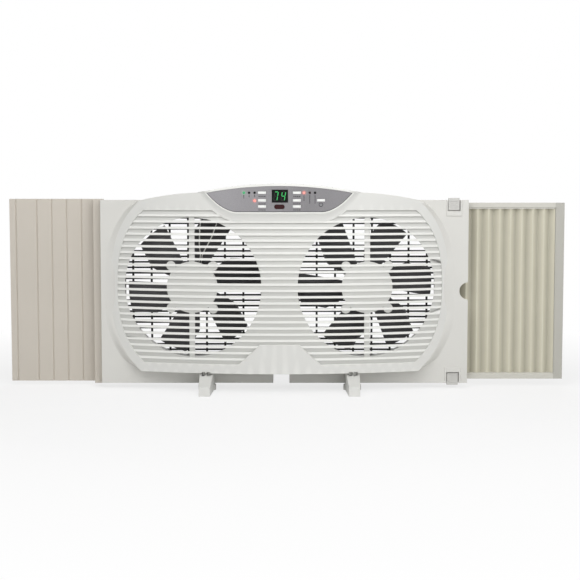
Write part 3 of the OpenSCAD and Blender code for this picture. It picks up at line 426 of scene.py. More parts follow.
def moulded(
    name, colour, rough, grain=0.0012, depth=0.00006, spread=0.03, ior=1.53, cloud=0.11, tone_of=None
):
    """Injection-moulded plastic: a faint cloudiness, the mould's eroded grain, and an uneven gloss in patches
    of 18 mm. cloud and grain are the sizes of the first two, and tone_of gives a tone for each place."""
    material, tree, out, place = blank(name)
    clouds = add(tree, "TexNoise", {"Vector": place, "Scale": 1 / cloud, "Detail": 3.0})
    ends = {"To Min": 1 - spread, "To Max": 1 + spread}
    shade = add(tree, "MapRange", {"Value": clouds.outputs["Fac"], **ends})
    tone = add(tree, "VectorMath", {0: colour[:3], "Scale": shade.outputs["Result"]}, operation="SCALE")
    if tone_of:
        more = tone_of(tree, place)
        tone = add(tree, "VectorMath", {0: tone.outputs["Vector"], "Scale": more}, operation="SCALE")
    gloss = add(tree, "TexNoise", {"Vector": place, "Scale": 1 / 0.018, "Detail": 2.0})
    ends = {"To Min": rough - 0.05, "To Max": rough + 0.05}
    dull = add(tree, "MapRange", {"Value": gloss.outputs["Fac"], **ends})
    erosion = add(tree, "TexNoise", {"Vector": place, "Scale": 1 / grain, "Detail": 2.0})
    bump = add(tree, "Bump", {"Height": erosion.outputs["Fac"], "Strength": 0.35, "Distance": depth})
    shader = add(tree, "BsdfPrincipled", {
        "Base Color": tone.outputs["Vector"],
        "Roughness": dull.outputs["Result"],
        "IOR": ior,
        "Normal": bump.outputs["Normal"],
    })
    tree.links.new(shader.outputs["BSDF"], out.inputs["Surface"])
    return material


def worked(name, colour, rough, across, length, depth):
    """Bare metal with the marks of its making: their spacing across and their length along the axis."""
    material, tree, out, place = blank(name)
    scale = (1 / across, 1 / length, 1 / across)
    drawn = add(tree, "VectorMath", {0: place, 1: scale}, operation="MULTIPLY")
    marks = add(tree, "TexNoise", {"Vector": drawn.outputs["Vector"], "Scale": 1.0, "Detail": 2.0})
    shade = add(tree, "MapRange", {"Value": marks.outputs["Fac"], "To Min": 0.92, "To Max": 1.08})
    tone = add(tree, "VectorMath", {0: colour[:3], "Scale": shade.outputs["Result"]}, operation="SCALE")
    ends = {"To Min": rough - 0.08, "To Max": rough + 0.08}
    dull = add(tree, "MapRange", {"Value": marks.outputs["Fac"], **ends})
    bump = add(tree, "Bump", {"Height": marks.outputs["Fac"], "Strength": 0.3, "Distance": depth})
    shader = add(tree, "BsdfPrincipled", {
        "Base Color": tone.outputs["Vector"],
        "Metallic": 1.0,
        "Roughness": dull.outputs["Result"],
        "Normal": bump.outputs["Normal"],
    })
    tree.links.new(shader.outputs["BSDF"], out.inputs["Surface"])
    return material


def spangled(name):
    """Hot-dip galvanised sheet: crystals of zinc about 5 mm across, each with its own grey and gloss."""
    material, tree, out, place = blank(name)
    crystals = add(tree, "TexVoronoi", {"Vector": place, "Scale": 1 / 0.005})
    grey = add(tree, "SeparateColor", {"Color": crystals.outputs["Color"]})
    shade = add(tree, "MapRange", {"Value": grey.outputs["Red"], "To Min": 0.85, "To Max": 1.12})
    zinc = srgb("#a9adb0")[:3]
    tone = add(tree, "VectorMath", {0: zinc, "Scale": shade.outputs["Result"]}, operation="SCALE")
    dull = add(tree, "MapRange", {"Value": grey.outputs["Green"], "To Min": 0.34, "To Max": 0.5})
    finish = {"Base Color": tone.outputs["Vector"], "Metallic": 1.0, "Roughness": dull.outputs["Result"]}
    shader = add(tree, "BsdfPrincipled", finish)
    tree.links.new(shader.outputs["BSDF"], out.inputs["Surface"])
    return material


def banded(name, light, dark, step, kind, middle_x, metallic, rough):
    """Layers or turns side by side, step apart: sheets along the axis (BANDS) or wire round it (RINGS)."""
    material, tree, out, place = blank(name)
    about = add(tree, "Mapping", {"Vector": place, "Location": (-middle_x, 0, -AXIS_Z)})
    wave = {"Vector": about.outputs["Vector"], "Scale": WAVE / step, "Distortion": 0.4}
    turns = add(tree, "TexWave", wave, wave_type=kind, bands_direction="Y", rings_direction="Y")
    tone = add(tree, "Mix", {"Factor": turns.outputs["Fac"], "A": dark, "B": light}, data_type="RGBA")
    bump = add(tree, "Bump", {"Height": turns.outputs["Fac"], "Strength": 0.5, "Distance": step / 4})
    shader = add(tree, "BsdfPrincipled", {
        "Base Color": tone.outputs["Result"],
        "Metallic": metallic,
        "Roughness": rough,
        "Normal": bump.outputs["Normal"],
    })
    tree.links.new(shader.outputs["BSDF"], out.inputs["Surface"])
    return material


def acrylic(name, colour, light=None, power=0.0, gloss=0.5):
    """Polished acrylic: glassy, with wipe marks 4 mm apart in its gloss, and lit where light is given."""
    material, tree, out, place = blank(name)
    wipes = add(tree, "TexNoise", {"Vector": place, "Scale": 1 / 0.004, "Detail": 3.0})
    dull = add(tree, "MapRange", {"Value": wipes.outputs["Fac"], "To Min": 0.08, "To Max": 0.22})
    depth = add(tree, "MapRange", {"Value": wipes.outputs["Fac"], "To Min": 0.85, "To Max": 1.15})
    tone = add(tree, "VectorMath", {0: colour[:3], "Scale": depth.outputs["Result"]}, operation="SCALE")
    shader = add(tree, "BsdfPrincipled", {
        "Base Color": tone.outputs["Vector"],
        "Roughness": dull.outputs["Result"],
        "IOR": 1.49,
        "Specular IOR Level": gloss,
        "Emission Color": light or (0, 0, 0, 1),
        "Emission Strength": power,
    })
    tree.links.new(shader.outputs["BSDF"], out.inputs["Surface"])
    return material


def pleated_film(name, colour):
    """Calendered PVC film: matt, with a fine cloth-like print, its lines 1.5 mm apart."""
    material, tree, out, place = blank(name)
    clouds = add(tree, "TexNoise", {"Vector": place, "Scale": 1 / 0.05, "Detail": 3.0})
    shade = add(tree, "MapRange", {"Value": clouds.outputs["Fac"], "To Min": 0.96, "To Max": 1.04})
    tone = add(tree, "VectorMath", {0: colour[:3], "Scale": shade.outputs["Result"]}, operation="SCALE")
    # painted light and shade: the folds are painted lighter at the front and darker towards the back than the
    # soft lamps alone make them
    front, back = (corner.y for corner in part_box("screen_pleats"))
    fade = along("Y", (front, back, 1.12, 0.7))(tree, place)
    tone = add(tree, "VectorMath", {0: tone.outputs["Vector"], "Scale": fade}, operation="SCALE")
    threads = add(tree, "TexWave", {"Vector": place, "Scale": WAVE / 0.0015}, bands_direction="Z")
    bump = add(tree, "Bump", {"Height": threads.outputs["Fac"], "Strength": 0.25, "Distance": 0.00008})
    shader = add(tree, "BsdfPrincipled", {
        "Base Color": tone.outputs["Vector"],
        "Roughness": 0.55,
        "IOR": 1.53,
        "Normal": bump.outputs["Normal"],
    })
    tree.links.new(shader.outputs["BSDF"], out.inputs["Surface"])
    return material


def silver_paint(name, colour, lit):
    """Aluminium-flake paint on ABS: flakes of 0.6 mm, drawn coarser than real ones so that they show, a satin
    clear coat, a painted reflection that makes it lighter at its left end, and the light that the lit lamps
    throw on it, painted as a glow: lit gives their colours and places."""
    material, tree, out, place = blank(name)
    flakes = add(tree, "TexVoronoi", {"Vector": place, "Scale": 1 / 0.0006})
    grey = add(tree, "SeparateColor", {"Color": flakes.outputs["Color"]})
    clouds = add(tree, "TexNoise", {"Vector": place, "Scale": 1 / 0.03, "Detail": 2.0})
    drift = add(tree, "MapRange", {"Value": clouds.outputs["Fac"], "To Min": -0.03, "To Max": 0.03})
    shade = add(tree, "MapRange", {"Value": grey.outputs["Red"], "To Min": 0.92, "To Max": 1.08})
    level = add(tree, "Math", {0: shade.outputs["Result"], 1: drift.outputs["Result"]}, operation="ADD")
    tone = add(tree, "VectorMath", {0: colour[:3], "Scale": level.outputs[0]}, operation="SCALE")
    # painted reflection: the silver is painted lighter at the plate's left end and darker towards its right
    # end, as a satin coat looks under light from the left
    fade = along("X", (FANS_X - 0.09, FANS_X + 0.045, 1.1, 0.66))(tree, place)
    tone = add(tree, "VectorMath", {0: tone.outputs["Vector"], "Scale": fade}, operation="SCALE")
    dull = add(tree, "MapRange", {"Value": grey.outputs["Green"], "To Min": 0.36, "To Max": 0.52})
    # painted light: each lamp's glow on the plate fades out between a lens's edge and 5.5 mm from its middle
    ends = {"From Min": 0.0015, "From Max": 0.0055, "To Min": 0.55, "To Max": 0.0}
    painted_lamp_glow = None
    for light, (x, z) in lit:
        off = add(tree, "VectorMath", {0: place, 1: on_head(x, z).translation}, operation="DISTANCE")
        near = add(tree, "MapRange", {"Value": off.outputs["Value"], **ends}, interpolation_type="SMOOTHSTEP")
        own = add(tree, "VectorMath", {0: light[:3], "Scale": near.outputs["Result"]}, operation="SCALE")
        if painted_lamp_glow is None:
            painted_lamp_glow = own
        else:
            painted_lamp_glow = add(tree, "VectorMath", {0: painted_lamp_glow.outputs[0], 1: own.outputs[0]}, operation="ADD")
    shader = add(tree, "BsdfPrincipled", {
        "Base Color": tone.outputs["Vector"],
        "Metallic": 0.35,
        "Roughness": dull.outputs["Result"],
        "Coat Weight": 0.3,
        "Coat Roughness": 0.3,
        "Emission Color": painted_lamp_glow.outputs["Vector"],
        "Emission Strength": 0.5,
    })
    tree.links.new(shader.outputs["BSDF"], out.inputs["Surface"])
    return material


def circuit_board(name):
    """Glass-epoxy board under green solder mask: tracks 2.5 mm apart show a little lighter."""
    material, tree, out, place = blank(name)
    flat = add(tree, "Mapping", {"Vector": place, "Rotation": (math.pi / 2, 0, 0)})
    tracks = add(tree, "TexBrick", {
        "Vector": flat.outputs["Vector"],
        "Color1": srgb("#1f5a34"),
        "Color2": srgb("#246239"),
        "Mortar": srgb("#3f8a52"),
        "Scale": 1.0,
        "Mortar Size": 0.0003,
        "Brick Width": 0.011,
        "Row Height": 0.0025,
    })
    finish = {"Base Color": tracks.outputs["Color"], "Roughness": 0.32, "IOR": 1.55}
    shader = add(tree, "BsdfPrincipled", finish)
    tree.links.new(shader.outputs["BSDF"], out.inputs["Surface"])
    return material


# ---------------------------------------------------------------- operators


class FAN_OT_stage(bpy.types.Operator):
    """Pale floor, soft studio light and the camera"""

    bl_idname = "fan.stage"
    bl_label = "Studio"

    def execute(self, context):
        material, tree, out, place = blank("white_studio_floor")
        # matt white paper: the camera sees it part lit from below, as on a light table, so that the shadow is
        # soft, and it goes over into the white backdrop between 0.55 and 1.1 m from the fan
        reach = add(tree, "VectorMath", {0: place}, operation="LENGTH")
        ends = {"From Min": 0.55, "From Max": 1.1, "To Min": 0.72, "To Max": 1.0}
        fade = add(tree, "MapRange", {"Value": reach.outputs["Value"], **ends})
        seen = add(tree, "LightPath").outputs["Is Camera Ray"]
        share = add(tree, "Math", {0: fade.outputs["Result"], 1: seen}, operation="MULTIPLY")
        paper = add(tree, "BsdfDiffuse", {"Color": srgb("#f4f4f4")})
        white = add(tree, "Emission", {"Color": (1, 1, 1, 1), "Strength": 1.0})
        both = add(tree, "MixShader", {0: share.outputs[0], 1: paper.outputs[0], 2: white.outputs[0]})
        tree.links.new(both.outputs[0], out.inputs["Surface"])
        floor = started("circle", vertices=96, radius=8, fill_type="NGON", location=(0, 0, 0))
        floor.name = "studio_floor"
        floor.data.materials.append(material)

        world = bpy.data.worlds.new("studio_world")
        context.scene.world = world
        world.use_nodes = True
        tree = world.node_tree
        tree.nodes.clear()
        # white where it is seen, straight or in gloss, and weaker as a lamp
        path = add(tree, "LightPath").outputs
        seen = path["Is Camera Ray"]
        for ray in ("Is Glossy Ray", "Is Transmission Ray"):
            seen = add(tree, "Math", {0: seen, 1: path[ray]}, operation="MAXIMUM").outputs[0]
        level = add(tree, "MapRange", {"Value": seen, "To Min": 0.4, "To Max": 1.0})
        sky = add(tree, "Background", {"Color": (1, 1, 1, 1), "Strength": level.outputs["Result"]})
        add(tree, "OutputWorld", {"Surface": sky.outputs[0]})

        # the place of each lamp, its power in watts and its width
        for name, place, power, size in (
            ("key_softbox", (-0.9, -1.9, 1.9), 11, 1.2),
            ("fill_softbox", (0.9, -2.1, 0.9), 12, 1.4),
            ("top_softbox", (0.1, -0.62, 1.0), 3.2, 0.8),
            ("back_softbox", (0.5, 2.0, 1.5), 14, 1.4),
        ):
            deselect()
            bpy.ops.object.light_add(type="AREA", location=place)
            lamp = bpy.context.object
            lamp.name = name
            lamp.data.energy = power
            lamp.data.shape = "SQUARE"
            lamp.data.size = size
            aim = Vector((0, 0, 0.15)) - Vector(place)
            lamp.rotation_euler = aim.to_track_quat("-Z", "Y").to_euler()

        # the photograph's view: square on, 4.4 degrees from above, 0.986 m wide at the frame's front
        aim, away, tilt, width = Vector((0.0074, FRAME_Y, 0.1683)), 2.1, math.radians(4.4), 0.986
        deselect()
        bpy.ops.object.camera_add(location=aim + away * Vector((0, -math.cos(tilt), math.sin(tilt))))
        camera = bpy.context.object
        camera.name = "camera"
        camera.rotation_euler = (math.radians(90) - tilt, 0, 0)
        camera.data.sensor_width = 36
        camera.data.lens = camera.data.sensor_width * away / width
        camera.data.clip_start = 0.05
        context.scene.camera = camera
        context.scene.view_settings.view_transform = "Standard"
        return {"FINISHED"}


class FAN_OT_mouldings(bpy.types.Operator):
    """Frame, fan box, front cover and rear grille"""

    bl_idname = "fan.mouldings"
    bl_label = "Mouldings"

    def execute(self, context):
        sizes, colours = context.scene.fan_sizes, context.scene.fan_colours
        # ABS, spark-eroded in the mould: a silky surface with soft, wide highlights
        frame = moulded("abs_silk_frame", colours.frame, 0.42)
        # the cover's finish carries painted highlights on the grille's ridges and the head's lip, and painted
        # shade in the grooves
        cover = moulded("abs_silk_cover", colours.cover, 0.38, depth=0.00005, tone_of=grille_painted_light_and_shade)
        dress(frame, "mounting_frame", edge=sizes.edge)
        dress(cover, "front_cover", edge=sizes.edge)
        dress(frame, "head_back")
        dress(frame, "fan_housing", edge=sizes.edge, angle=50)
        # black polypropylene, left dull by the mould
        black = moulded("polypropylene_black", srgb("#1a1a19"), 0.5, 0.0015, 0.00005)
        dress(black, "rear_grille", edge=0.0003)
        return {"FINISHED"}


class FAN_OT_head_slope(bpy.types.Operator):
    """Cover shell, slope below the control head, hollows beside the cover and a dark strip round the plate as
    its painted shadow gap
    """

    bl_idname = "fan.head_slope"
    bl_label = "Head slope"

    def execute(self, context):
        sizes = context.scene.fan_sizes
        node = NODES["front_cover"]
        cover = node.data.materials[0]
        # the cover again: its rim's outer edge is laid down so that the slope can lie over it, and so are the
        # rim's tips, from tip_from outwards, above a line between its upper edge and the plate's
        laid, tip_from, tip_to = 0.0041, 0.112, 0.128
        line_end, line_rise = 0.0321, 0.0109
        shell = copy_to(node, Matrix())
        shell.modifiers.clear()
        pick(shell)
        bpy.ops.object.mode_set(mode="EDIT")
        bpy.ops.mesh.select_all(action="SELECT")
        bpy.ops.mesh.remove_doubles(threshold=1e-5)
        bpy.ops.object.mode_set(mode="OBJECT")
        for corner in shell.data.vertices:
            x, z = corner.co.x - FANS_X, corner.co.z - PLATE_Z
            inward = Vector((x, corner.co.y - BOW_Y))
            if abs(inward.length - BOW_R - RIM_PROUD) > 1e-4:
                continue
            if z < lower_edge(x, 0.5) or abs(x) > tip_to:
                share = 1.0
            elif abs(x) > tip_from and z > line_end + line_rise * (1 - (x / RIM_HALF) ** 2):
                share = (abs(x) - tip_from) / (RIM_HALF - tip_from)
            else:
                continue
            inward *= (BOW_R + RIM_PROUD - laid * share) / inward.length
            corner.co.x, corner.co.y = FANS_X + inward.x, BOW_Y + inward.y
        soft_edges(shell, sizes.edge)
        finished(shell, "cover_shell", "housing", stands_for=["front_cover"])

        # from the plate outwards: a rounded corner, a flat lip, and the hollow slope with its power
        corner_drop, corner_width = 0.0004, 0.0005
        lip_width, slope_width, slope_drop, hollow = 0.0021, 0.0154, 0.00365, 2.2

        def slope(spread):
            across = (RIM_HALF - PLATE_HALF) * spread
            lip = RIM_PROUD - corner_drop * max(0.0, 1 - across / corner_width) ** 2
            share = min(max((across - lip_width) / slope_width, 0.0), 1.0)
            return lip - slope_drop * (1 - (1 - share) ** hollow)

        skin = along_head(rows=28, spread_from=-0.01, spread_to=1.3, proud_at=slope)
        finished(skin, "head_slope", "housing", cover)
        sides = joined([beside_cover(side) for side in (-1, 1)])
        bpy.ops.object.mode_set(mode="EDIT")
        faced_out()
        bpy.ops.object.shade_smooth_by_angle(angle=math.radians(50))
        frame = NODES["mounting_frame"].data.materials[0]
        finished(sides, "cover_fillets", "housing", frame)
        # painted shadow: a thin dark strip, dull and fine-grained, between the plate and the lip stands for
        # the shadow gap there and shows as a dark line
        shadow_dark = moulded("shadow_strip_grey", srgb("#37383b"), 0.8, 0.0008, 0.00005)
        proud = PLATE_PROUD + 0.00006
        shadow_strip = along_head(rows=2, spread_from=-0.085, spread_to=-0.005, proud_at=lambda spread: proud)
        finished(shadow_strip, "plate_shadow_strip", "housing", shadow_dark)
        return {"FINISHED"}


class FAN_OT_fans(bpy.types.Operator):
    """Blades, motors and what holds them"""

    bl_idname = "fan.fans"
    bl_label = "Fans and motors"

    def execute(self, context):
        colours = context.scene.fan_colours
        # talc-filled polypropylene, grey right through: a dull sheen with a faint flow pattern
        blades = moulded(
            "polypropylene_grey", colours.blades, 0.45, 0.002, 0.00004, spread=0.08, cloud=0.04, ior=1.49
        )
        dress(blades, "blade_left", "blade_right", edge=0.0004)
        # hot-dip galvanised sheet, deep-drawn: zinc crystals
        shell = spangled("galvanised_steel_drawn")
        for side, x in FAN_AXES.items():
            dress(shell, "motor_front_" + side, "motor_rear_" + side, edge=0.0003, angle=45)
            # silicon steel sheets, punched and stacked: dark lines across the core, drawn 1 mm apart
            light, dark = srgb("#8a8c8e"), srgb("#55575a")
            core = banded("silicon_steel_stack_" + side, light, dark, 0.001, "BANDS", x, 1.0, 0.45)
            dress(core, "stator_" + side, "rotor_" + side)
            # enamelled copper wire in turns 0.8 mm apart: amber red, glossy
            light, dark = srgb("#b5602c"), srgb("#6d3416")
            wire = banded("enamelled_copper_" + side, light, dark, 0.0008, "RINGS", x, 0.9, 0.3)
            dress(wire, "windings_" + side)
        # sintered bronze, soaked with oil: brown gold and dull, with open pores
        bronze = worked("sintered_bronze", srgb("#a9834e"), 0.5, 0.0006, 0.0006, 0.00005)
        dress(bronze, "bushes_left", "bushes_right")
        # centreless-ground steel: bright, with fine marks along it
        steel = worked("ground_steel", srgb("#c3c5c8"), 0.22, 0.0004, 0.006, 0.00001)
        dress(steel, "shaft_left", "shaft_right")
        # glass-filled nylon, natural black: dull, with the fibres' fine grain
        nylon = moulded("nylon_black", srgb("#262626"), 0.48, 0.001, 0.00005)
        dress(nylon, "blade_nut_left", "blade_nut_right", "cord_gland", edge=0.0003)
        # zinc-plated steel, passivated: pale with a faint blue-yellow cast
        screws = worked("zinc_plated_steel", srgb("#b9bcbc"), 0.3, 0.0008, 0.0008, 0.00002)
        dress(screws, "motor_screws", "cover_screws", "grille_screws", edge=0.0002, angle=40)
        # plasticised PVC insulation: white and waxy
        leads = moulded("pvc_lead_white", srgb("#f6f5ef"), 0.35, 0.003, 0.00002)
        dress(leads, "motor_leads")
        welded(NODES["motor_leads"])
        # polypropylene film capacitor, potted in a beige moulded box: a satin face
        case = moulded("capacitor_case_beige", srgb("#8e8a80"), 0.4, 0.002)
        dress(case, "run_capacitors", edge=0.0008)
        return {"FINISHED"}


class FAN_OT_controls(bpy.types.Operator):
    """Control plate, windows, buttons and board"""

    bl_idname = "fan.controls"
    bl_label = "Control head"

    def execute(self, context):
        colours = context.scene.fan_colours
        # the lit lamps' colours and places: their light is painted on the control plate as a glow
        lit = (srgb("#35b070"), GREEN_AT), (srgb("#ff5a48"), LEFT_RED_AT), (srgb("#ff6a60"), RIGHT_RED_AT)
        dress(silver_paint("silver_paint_on_abs", colours.plate, lit), "control_plate", edge=0.0003)
        # smoked acrylic: nearly black and glassy
        dress(acrylic("smoked_acrylic", srgb("#070c08"), gloss=0.2), "display_window", edge=0.0002)
        # dark red acrylic that lets infrared through
        dress(acrylic("infrared_red_acrylic", srgb("#33090d"), gloss=0.3), "receiver_window", edge=0.0004)
        # white ABS, polished where fingers press it
        keys = [name for name in NODES if name.startswith("button_")]
        dress(moulded("abs_white_keys", srgb("#fafaf8"), 0.3, 0.002, 0.00002), *keys, edge=0.0005)
        dress(circuit_board("glass_epoxy_board"), "control_board")
        # black epoxy and dark relay cases: dull, with a fine grain
        dress(moulded("epoxy_black_parts", srgb("#26272a"), 0.5, 0.0008), "board_parts", edge=0.0002)
        return {"FINISHED"}


class FAN_OT_lamps(bpy.types.Operator):
    """Indicator lenses, lit and unlit"""

    bl_idname = "fan.lamps"
    bl_label = "Indicator lamps"

    def execute(self, context):
        radius, rod_length = context.scene.fan_sizes.lens, 0.01
        green = acrylic("acrylic_lens_green_lit", srgb("#2f8f58"), srgb("#46c07a"), 0.45)
        red = acrylic("acrylic_lens_red_lit", srgb("#e07a70"), srgb("#ff9a8c"), 0.9)
        dark = acrylic("acrylic_lens_dark", srgb("#0d0e12"), gloss=0.3)
        wine = acrylic("acrylic_lens_wine", srgb("#2a1216"))
        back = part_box("indicator_lenses")[1].y
        # a light guide: a rod with a rounded front, modelled once and drawn out to the board for each lamp
        behind = (0, 0, -rod_length / 2)
        rod = started("cylinder", vertices=24, radius=radius, depth=rod_length, location=behind)
        settled(rod)
        bpy.ops.object.mode_set(mode="EDIT")
        choose(rod, "EDGE", lambda e: min(c.co.z for c in e.verts) > -1e-6)
        bpy.ops.mesh.bevel(offset=radius * 0.55, segments=4, profile=0.5)
        choose(rod, "FACE", lambda f: f.normal.z > 0.99)
        bpy.ops.mesh.inset(thickness=radius * 0.2)
        bpy.ops.transform.translate(value=(0, 0, radius * 0.06))
        bpy.ops.object.mode_set(mode="OBJECT")
        bpy.ops.object.shade_smooth_by_angle(angle=math.radians(50))
        lenses, proud = [], PLATE_PROUD + 0.0004
        for material, (x, z) in (
            (green, GREEN_AT), (dark, (-0.0498, LAMP_ROW)), (dark, (-0.0407, LAMP_ROW)), (red, LEFT_RED_AT),
            (red, RIGHT_RED_AT), (wine, (0.0498, LAMP_ROW)), (dark, (0.0586, LAMP_ROW)),
        ):
            front = on_head(x, z, proud).translation
            place = Matrix.Translation(front) @ Matrix.Rotation(math.pi / 2, 4, "X")
            stretch = Matrix.Diagonal((1, 1, (back - front.y) / rod_length, 1))
            lenses.append(copy_to(rod, place @ stretch, material))
        bpy.data.objects.remove(rod)
        finished(joined(lenses), "lamp_lenses", "housing", stands_for=["indicator_lenses"])
        return {"FINISHED"}


class FAN_OT_digits(bpy.types.Operator):
    """Two seven-segment digits in the display window"""

    bl_idname = "fan.digits"
    bl_label = "Display digits"

    def execute(self, context):
        sizes, colours = context.scene.fan_sizes, context.scene.fan_colours
        high, wide, bar = sizes.digit_height, sizes.digit_width, sizes.digit_bar
        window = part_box("display_window")
        centre = (window[0] + window[1]) / 2
        face = Vector((centre.x, window[0].y, centre.z))
        # light-emitting bars: they stand in the smoked window's face, so that its dark acrylic doesn't hide
        # them, and the unlit ones are just visible
        thick, sunk = 0.00012, 0.00004
        lit = acrylic("display_bars_lit", srgb("#123a20"), colours.digits, 0.8)
        off = acrylic("display_bars_unlit", srgb("#131c16"))
        # one bar: a flat strip with pointed ends
        long = wide * 0.92
        strip = started("plane", size=1)
        strip.scale = (long - bar, bar, 1)
        settled(strip)
        bpy.ops.object.mode_set(mode="EDIT")
        choose(strip, "EDGE", lambda e: abs(middle(e).x) > (long - bar) / 2 - 1e-7)
        bpy.ops.mesh.subdivide()
        choose(strip, "VERT", lambda v: abs(v.co.y) < 1e-7)
        bpy.ops.transform.resize(value=(long / (long - bar), 1, 1), center_override=(0, 0, 0))
        choose(strip, "FACE", lambda f: True)
        drawn_out((0, 0, thick))
        faced_out()
        # the digits lean to the right; an upright bar is a little shorter than half a digit
        slant, upright_length = math.radians(9.5), high / 2 - bar * 0.15
        places = {
            "a": (0, high / 2, 0), "d": (0, -high / 2, 0), "g": (0, 0, 0), "b": (wide / 2, high / 4, 1),
            "c": (wide / 2, -high / 4, 1), "f": (-wide / 2, high / 4, 1), "e": (-wide / 2, -high / 4, 1),
        }
        bars = {True: [], False: []}
        stand = Matrix.Translation(face + Vector((0, sunk, 0))) @ Matrix.Rotation(math.pi / 2, 4, "X")
        # where each digit stands from the window's middle, and which of its bars are lit
        for x, shown in ((-0.0065, "abc"), (0.0057, "fgbc")):
            for key, (across, up, upright) in places.items():
                turn = Matrix.Rotation(math.pi / 2 - slant if upright else 0.0, 4, "Z")
                stretch = Matrix.Diagonal((upright_length / long if upright else 1, 1, 1, 1))
                at = Matrix.Translation((x + across + up * math.tan(slant), up, 0))
                bars[key in shown].append(copy_to(strip, stand @ at @ turn @ stretch))
        bpy.data.objects.remove(strip)
        finished(joined(bars[True]), "display_bars_lit", "housing", lit)
        finished(joined(bars[False]), "display_bars_unlit", "housing", off)
        return {"FINISHED"}


class FAN_OT_marks(bpy.types.Operator):
    """Printed marks on the control plate: plain dashes and a power ring"""

    bl_idname = "fan.marks"
    bl_label = "Printed marks"

    def execute(self, context):
        # screen-printed ink: dark grey, dull, a hair proud of the paint
        ink = moulded("screen_printed_ink", srgb("#1d1e21"), 0.6, 0.0006, 0.00001, spread=0.1)
        dash = started("plane", size=1)
        settled(dash)
        bpy.ops.object.mode_set(mode="EDIT")
        bpy.ops.mesh.select_all(action="SELECT")
        bpy.ops.mesh.bevel(offset=0.3, segments=3, affect="VERTICES")
        bpy.ops.mesh.select_all(action="SELECT")
        drawn_out((0, 0, 1))
        faced_out()
        marks = []

        def put(x, z, wide, high):
            size = Matrix.Diagonal((wide, high, INK, 1))
            marks.append(copy_to(dash, on_head(x, z, PLATE_PROUD - INK_SUNK) @ size))

        # under each button a row of four short dashes
        button_x, pitch = 0.0286, 0.0031
        for side in (-1, 1):
            for z in (0.0255, 0.0134, 0.0035):
                for k in range(4):
                    put(side * button_x + (k - 1.5) * pitch, z, 0.0023, 0.0014)
        # under each lamp of the upper row a column of them
        top, pitch = 0.0274, 0.0021
        for x, count in ((-0.0585, 3), (-0.0498, 2), (-0.0407, 2), (0.0404, 5), (0.0498, 7), (0.0586, 7)):
            for k in range(count):
                put(x, top - k * pitch, 0.0013, 0.0016)
        # above the power button a bar in an open ring
        power_x, power_z, bar_up, inner, wider, gap = 0.0683, 0.0122, 0.0024, 0.0026, 1.36, 0.0013
        put(power_x, power_z + bar_up, 0.0009, 0.0028)
        ring = started("circle", vertices=32, radius=inner, fill_type="NOTHING")
        settled(ring)
        bpy.ops.object.mode_set(mode="EDIT")
        choose(ring, "EDGE", lambda e: True)
        drawn_out((0, 0, 0))
        bpy.ops.transform.resize(value=(wider, wider, 1), center_override=(0, 0, 0))
        choose(ring, "FACE", lambda f: middle(f).y > 0 and abs(middle(f).x) < gap)
        bpy.ops.mesh.delete(type="FACE")
        bpy.ops.mesh.select_all(action="SELECT")
        drawn_out((0, 0, INK))
        faced_out()
        ring.matrix_world = on_head(power_x, power_z, PLATE_PROUD - INK_SUNK)
        marks.append(ring)
        bpy.data.objects.remove(dash)
        finished(joined(marks), "printed_marks", "housing", ink)
        return {"FINISHED"}


class FAN_OT_side_screen(bpy.types.Operator):
    """Side screen: its frame and the pleated film"""

    bl_idname = "fan.side_screen"
    bl_label = "Side screen"

    def execute(self, context):
        sizes, colours = context.scene.fan_sizes, context.scene.fan_colours
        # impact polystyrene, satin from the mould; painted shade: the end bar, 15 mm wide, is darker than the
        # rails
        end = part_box("screen_frame")[1].x
        bar = along("X", (end - 0.016, end - 0.015, 1.0, 0.76))
        satin = moulded("hips_satin_screen", srgb("#cfcdc4"), 0.45, ior=1.59, tone_of=bar)
        dress(satin, "screen_frame", edge=0.0004)
        low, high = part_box("screen_pleats")
        film, folds = sizes.film, sizes.pleats
        step = (high.x - low.x) / folds / 2
        front, back = low.y + film / 2, high.y - film / 2
        # one upright edge of a narrow strip, drawn out fold after fold: it starts at the front, and ends a
        # little short of the end bar
        strip, short = 0.001, 0.0002

        def upright(edge, after, before):
            level = abs(edge.verts[0].co.x - edge.verts[1].co.x)
            return level < 1e-6 and after < middle(edge).x < before

        sheet = started("plane", size=1)
        sheet.rotation_euler = (math.pi / 2, 0, 0)
        sheet.scale = (strip, high.z - low.z, 1)
        sheet.location = (low.x + strip / 2, front, (low.z + high.z) / 2)
        settled(sheet)
        bpy.ops.object.mode_set(mode="EDIT")
        choose(sheet, "EDGE", lambda e: upright(e, low.x + strip / 2, high.x))
        for k in range(2 * folds):
            away = (back - front) * (1 if k % 2 == 0 else -1)
            run = step - (strip if k == 0 else 0) - (short if k == 2 * folds - 1 else 0)
            drawn_out((run, away, 0))
        choose(sheet, "EDGE", lambda e: upright(e, low.x + 2 * strip, high.x - 2 * strip))
        bpy.ops.mesh.bevel(offset=sizes.fold, segments=4, profile=0.5)
        bpy.ops.object.mode_set(mode="OBJECT")
        applied(sheet, "SOLIDIFY", "Film thickness", thickness=film, offset=0)
        pick(sheet)
        bpy.ops.object.shade_smooth_by_angle(angle=math.radians(40))
        material = pleated_film("pvc_film_pleated", colours.film)
        finished(sheet, "pleated_film", "housing", material, stands_for=["screen_pleats"])
        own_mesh(sheet)
        return {"FINISHED"}


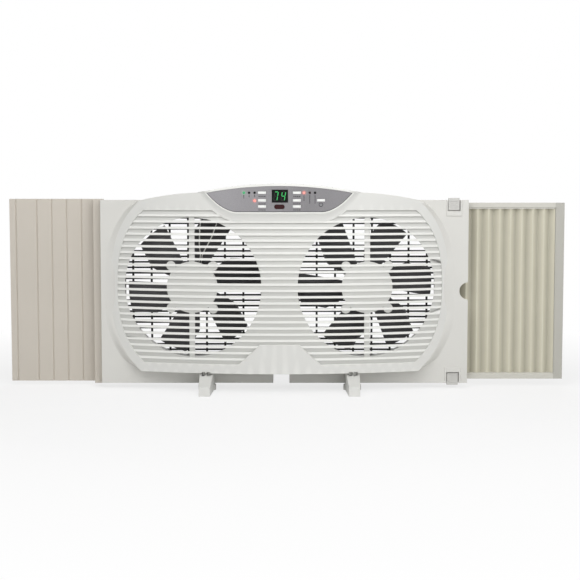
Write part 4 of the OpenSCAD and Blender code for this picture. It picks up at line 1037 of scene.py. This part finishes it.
class FAN_OT_side_panel(bpy.types.Operator):
    """Slatted side panel, its strip, the window locks and the feet"""

    bl_idname = "fan.side_panel"
    bl_label = "Side panel, locks and feet"

    def execute(self, context):
        sizes, colours = context.scene.fan_sizes, context.scene.fan_colours
        # impact polystyrene, satin, a little browner than the frame
        panel = moulded("hips_satin_panel", colours.panel, 0.5, 0.0015, ior=1.59, spread=0.04)
        dress(panel, "slat_panel", "panel_strip", edge=0.0004)
        # acetal, moulded: a slippery, waxy satin
        acetal = moulded("acetal_locks", srgb("#cbcac6"), 0.35, 0.002, 0.00003, ior=1.48)
        dress(acetal, "lock_top", "lock_bottom", edge=0.0003)
        # ABS with the cover's silky surface, a little lighter
        feet = moulded("abs_silk_feet", srgb("#e2e2de"), 0.42)
        dress(feet, "foot_left", "foot_right", edge=sizes.edge)
        # natural rubber, moulded: dark and dull
        rubber = moulded("rubber_pads", srgb("#2b2b2c"), 0.8, 0.0008, 0.0001)
        dress(rubber, "foot_pads_left", "foot_pads_right", edge=0.0003)
        return {"FINISHED"}


class FAN_PT_panel(bpy.types.Panel):
    """Lists the pieces in the 3D view's sidebar"""

    bl_idname = "FAN_PT_panel"
    bl_label = "Window fan"
    bl_space_type = "VIEW_3D"
    bl_region_type = "UI"
    bl_category = "Window fan"

    def draw(self, context):
        column = self.layout.column(align=True)
        for operator in OPERATORS:
            column.operator(operator.bl_idname)
        for group in (context.scene.fan_sizes, context.scene.fan_colours):
            column.separator()
            for key in group.__annotations__:
                column.prop(group, key)


OPERATORS = (
    FAN_OT_stage, FAN_OT_mouldings, FAN_OT_head_slope, FAN_OT_fans, FAN_OT_controls,
    FAN_OT_lamps, FAN_OT_digits, FAN_OT_marks, FAN_OT_side_screen, FAN_OT_side_panel,
)
CLASSES = (FanSizes, FanColours, *OPERATORS, FAN_PT_panel)


def register():
    for item in CLASSES:
        bpy.utils.register_class(item)
    bpy.types.Scene.fan_sizes = bpy.props.PointerProperty(type=FanSizes)
    bpy.types.Scene.fan_colours = bpy.props.PointerProperty(type=FanColours)


def unregister():
    del bpy.types.Scene.fan_colours
    del bpy.types.Scene.fan_sizes
    for item in reversed(CLASSES):
        bpy.utils.unregister_class(item)


def main():
    register()
    for operator in OPERATORS:
        group, name = operator.bl_idname.split(".")
        getattr(getattr(bpy.ops, group), name)()


if __name__ == "__main__":
    main()
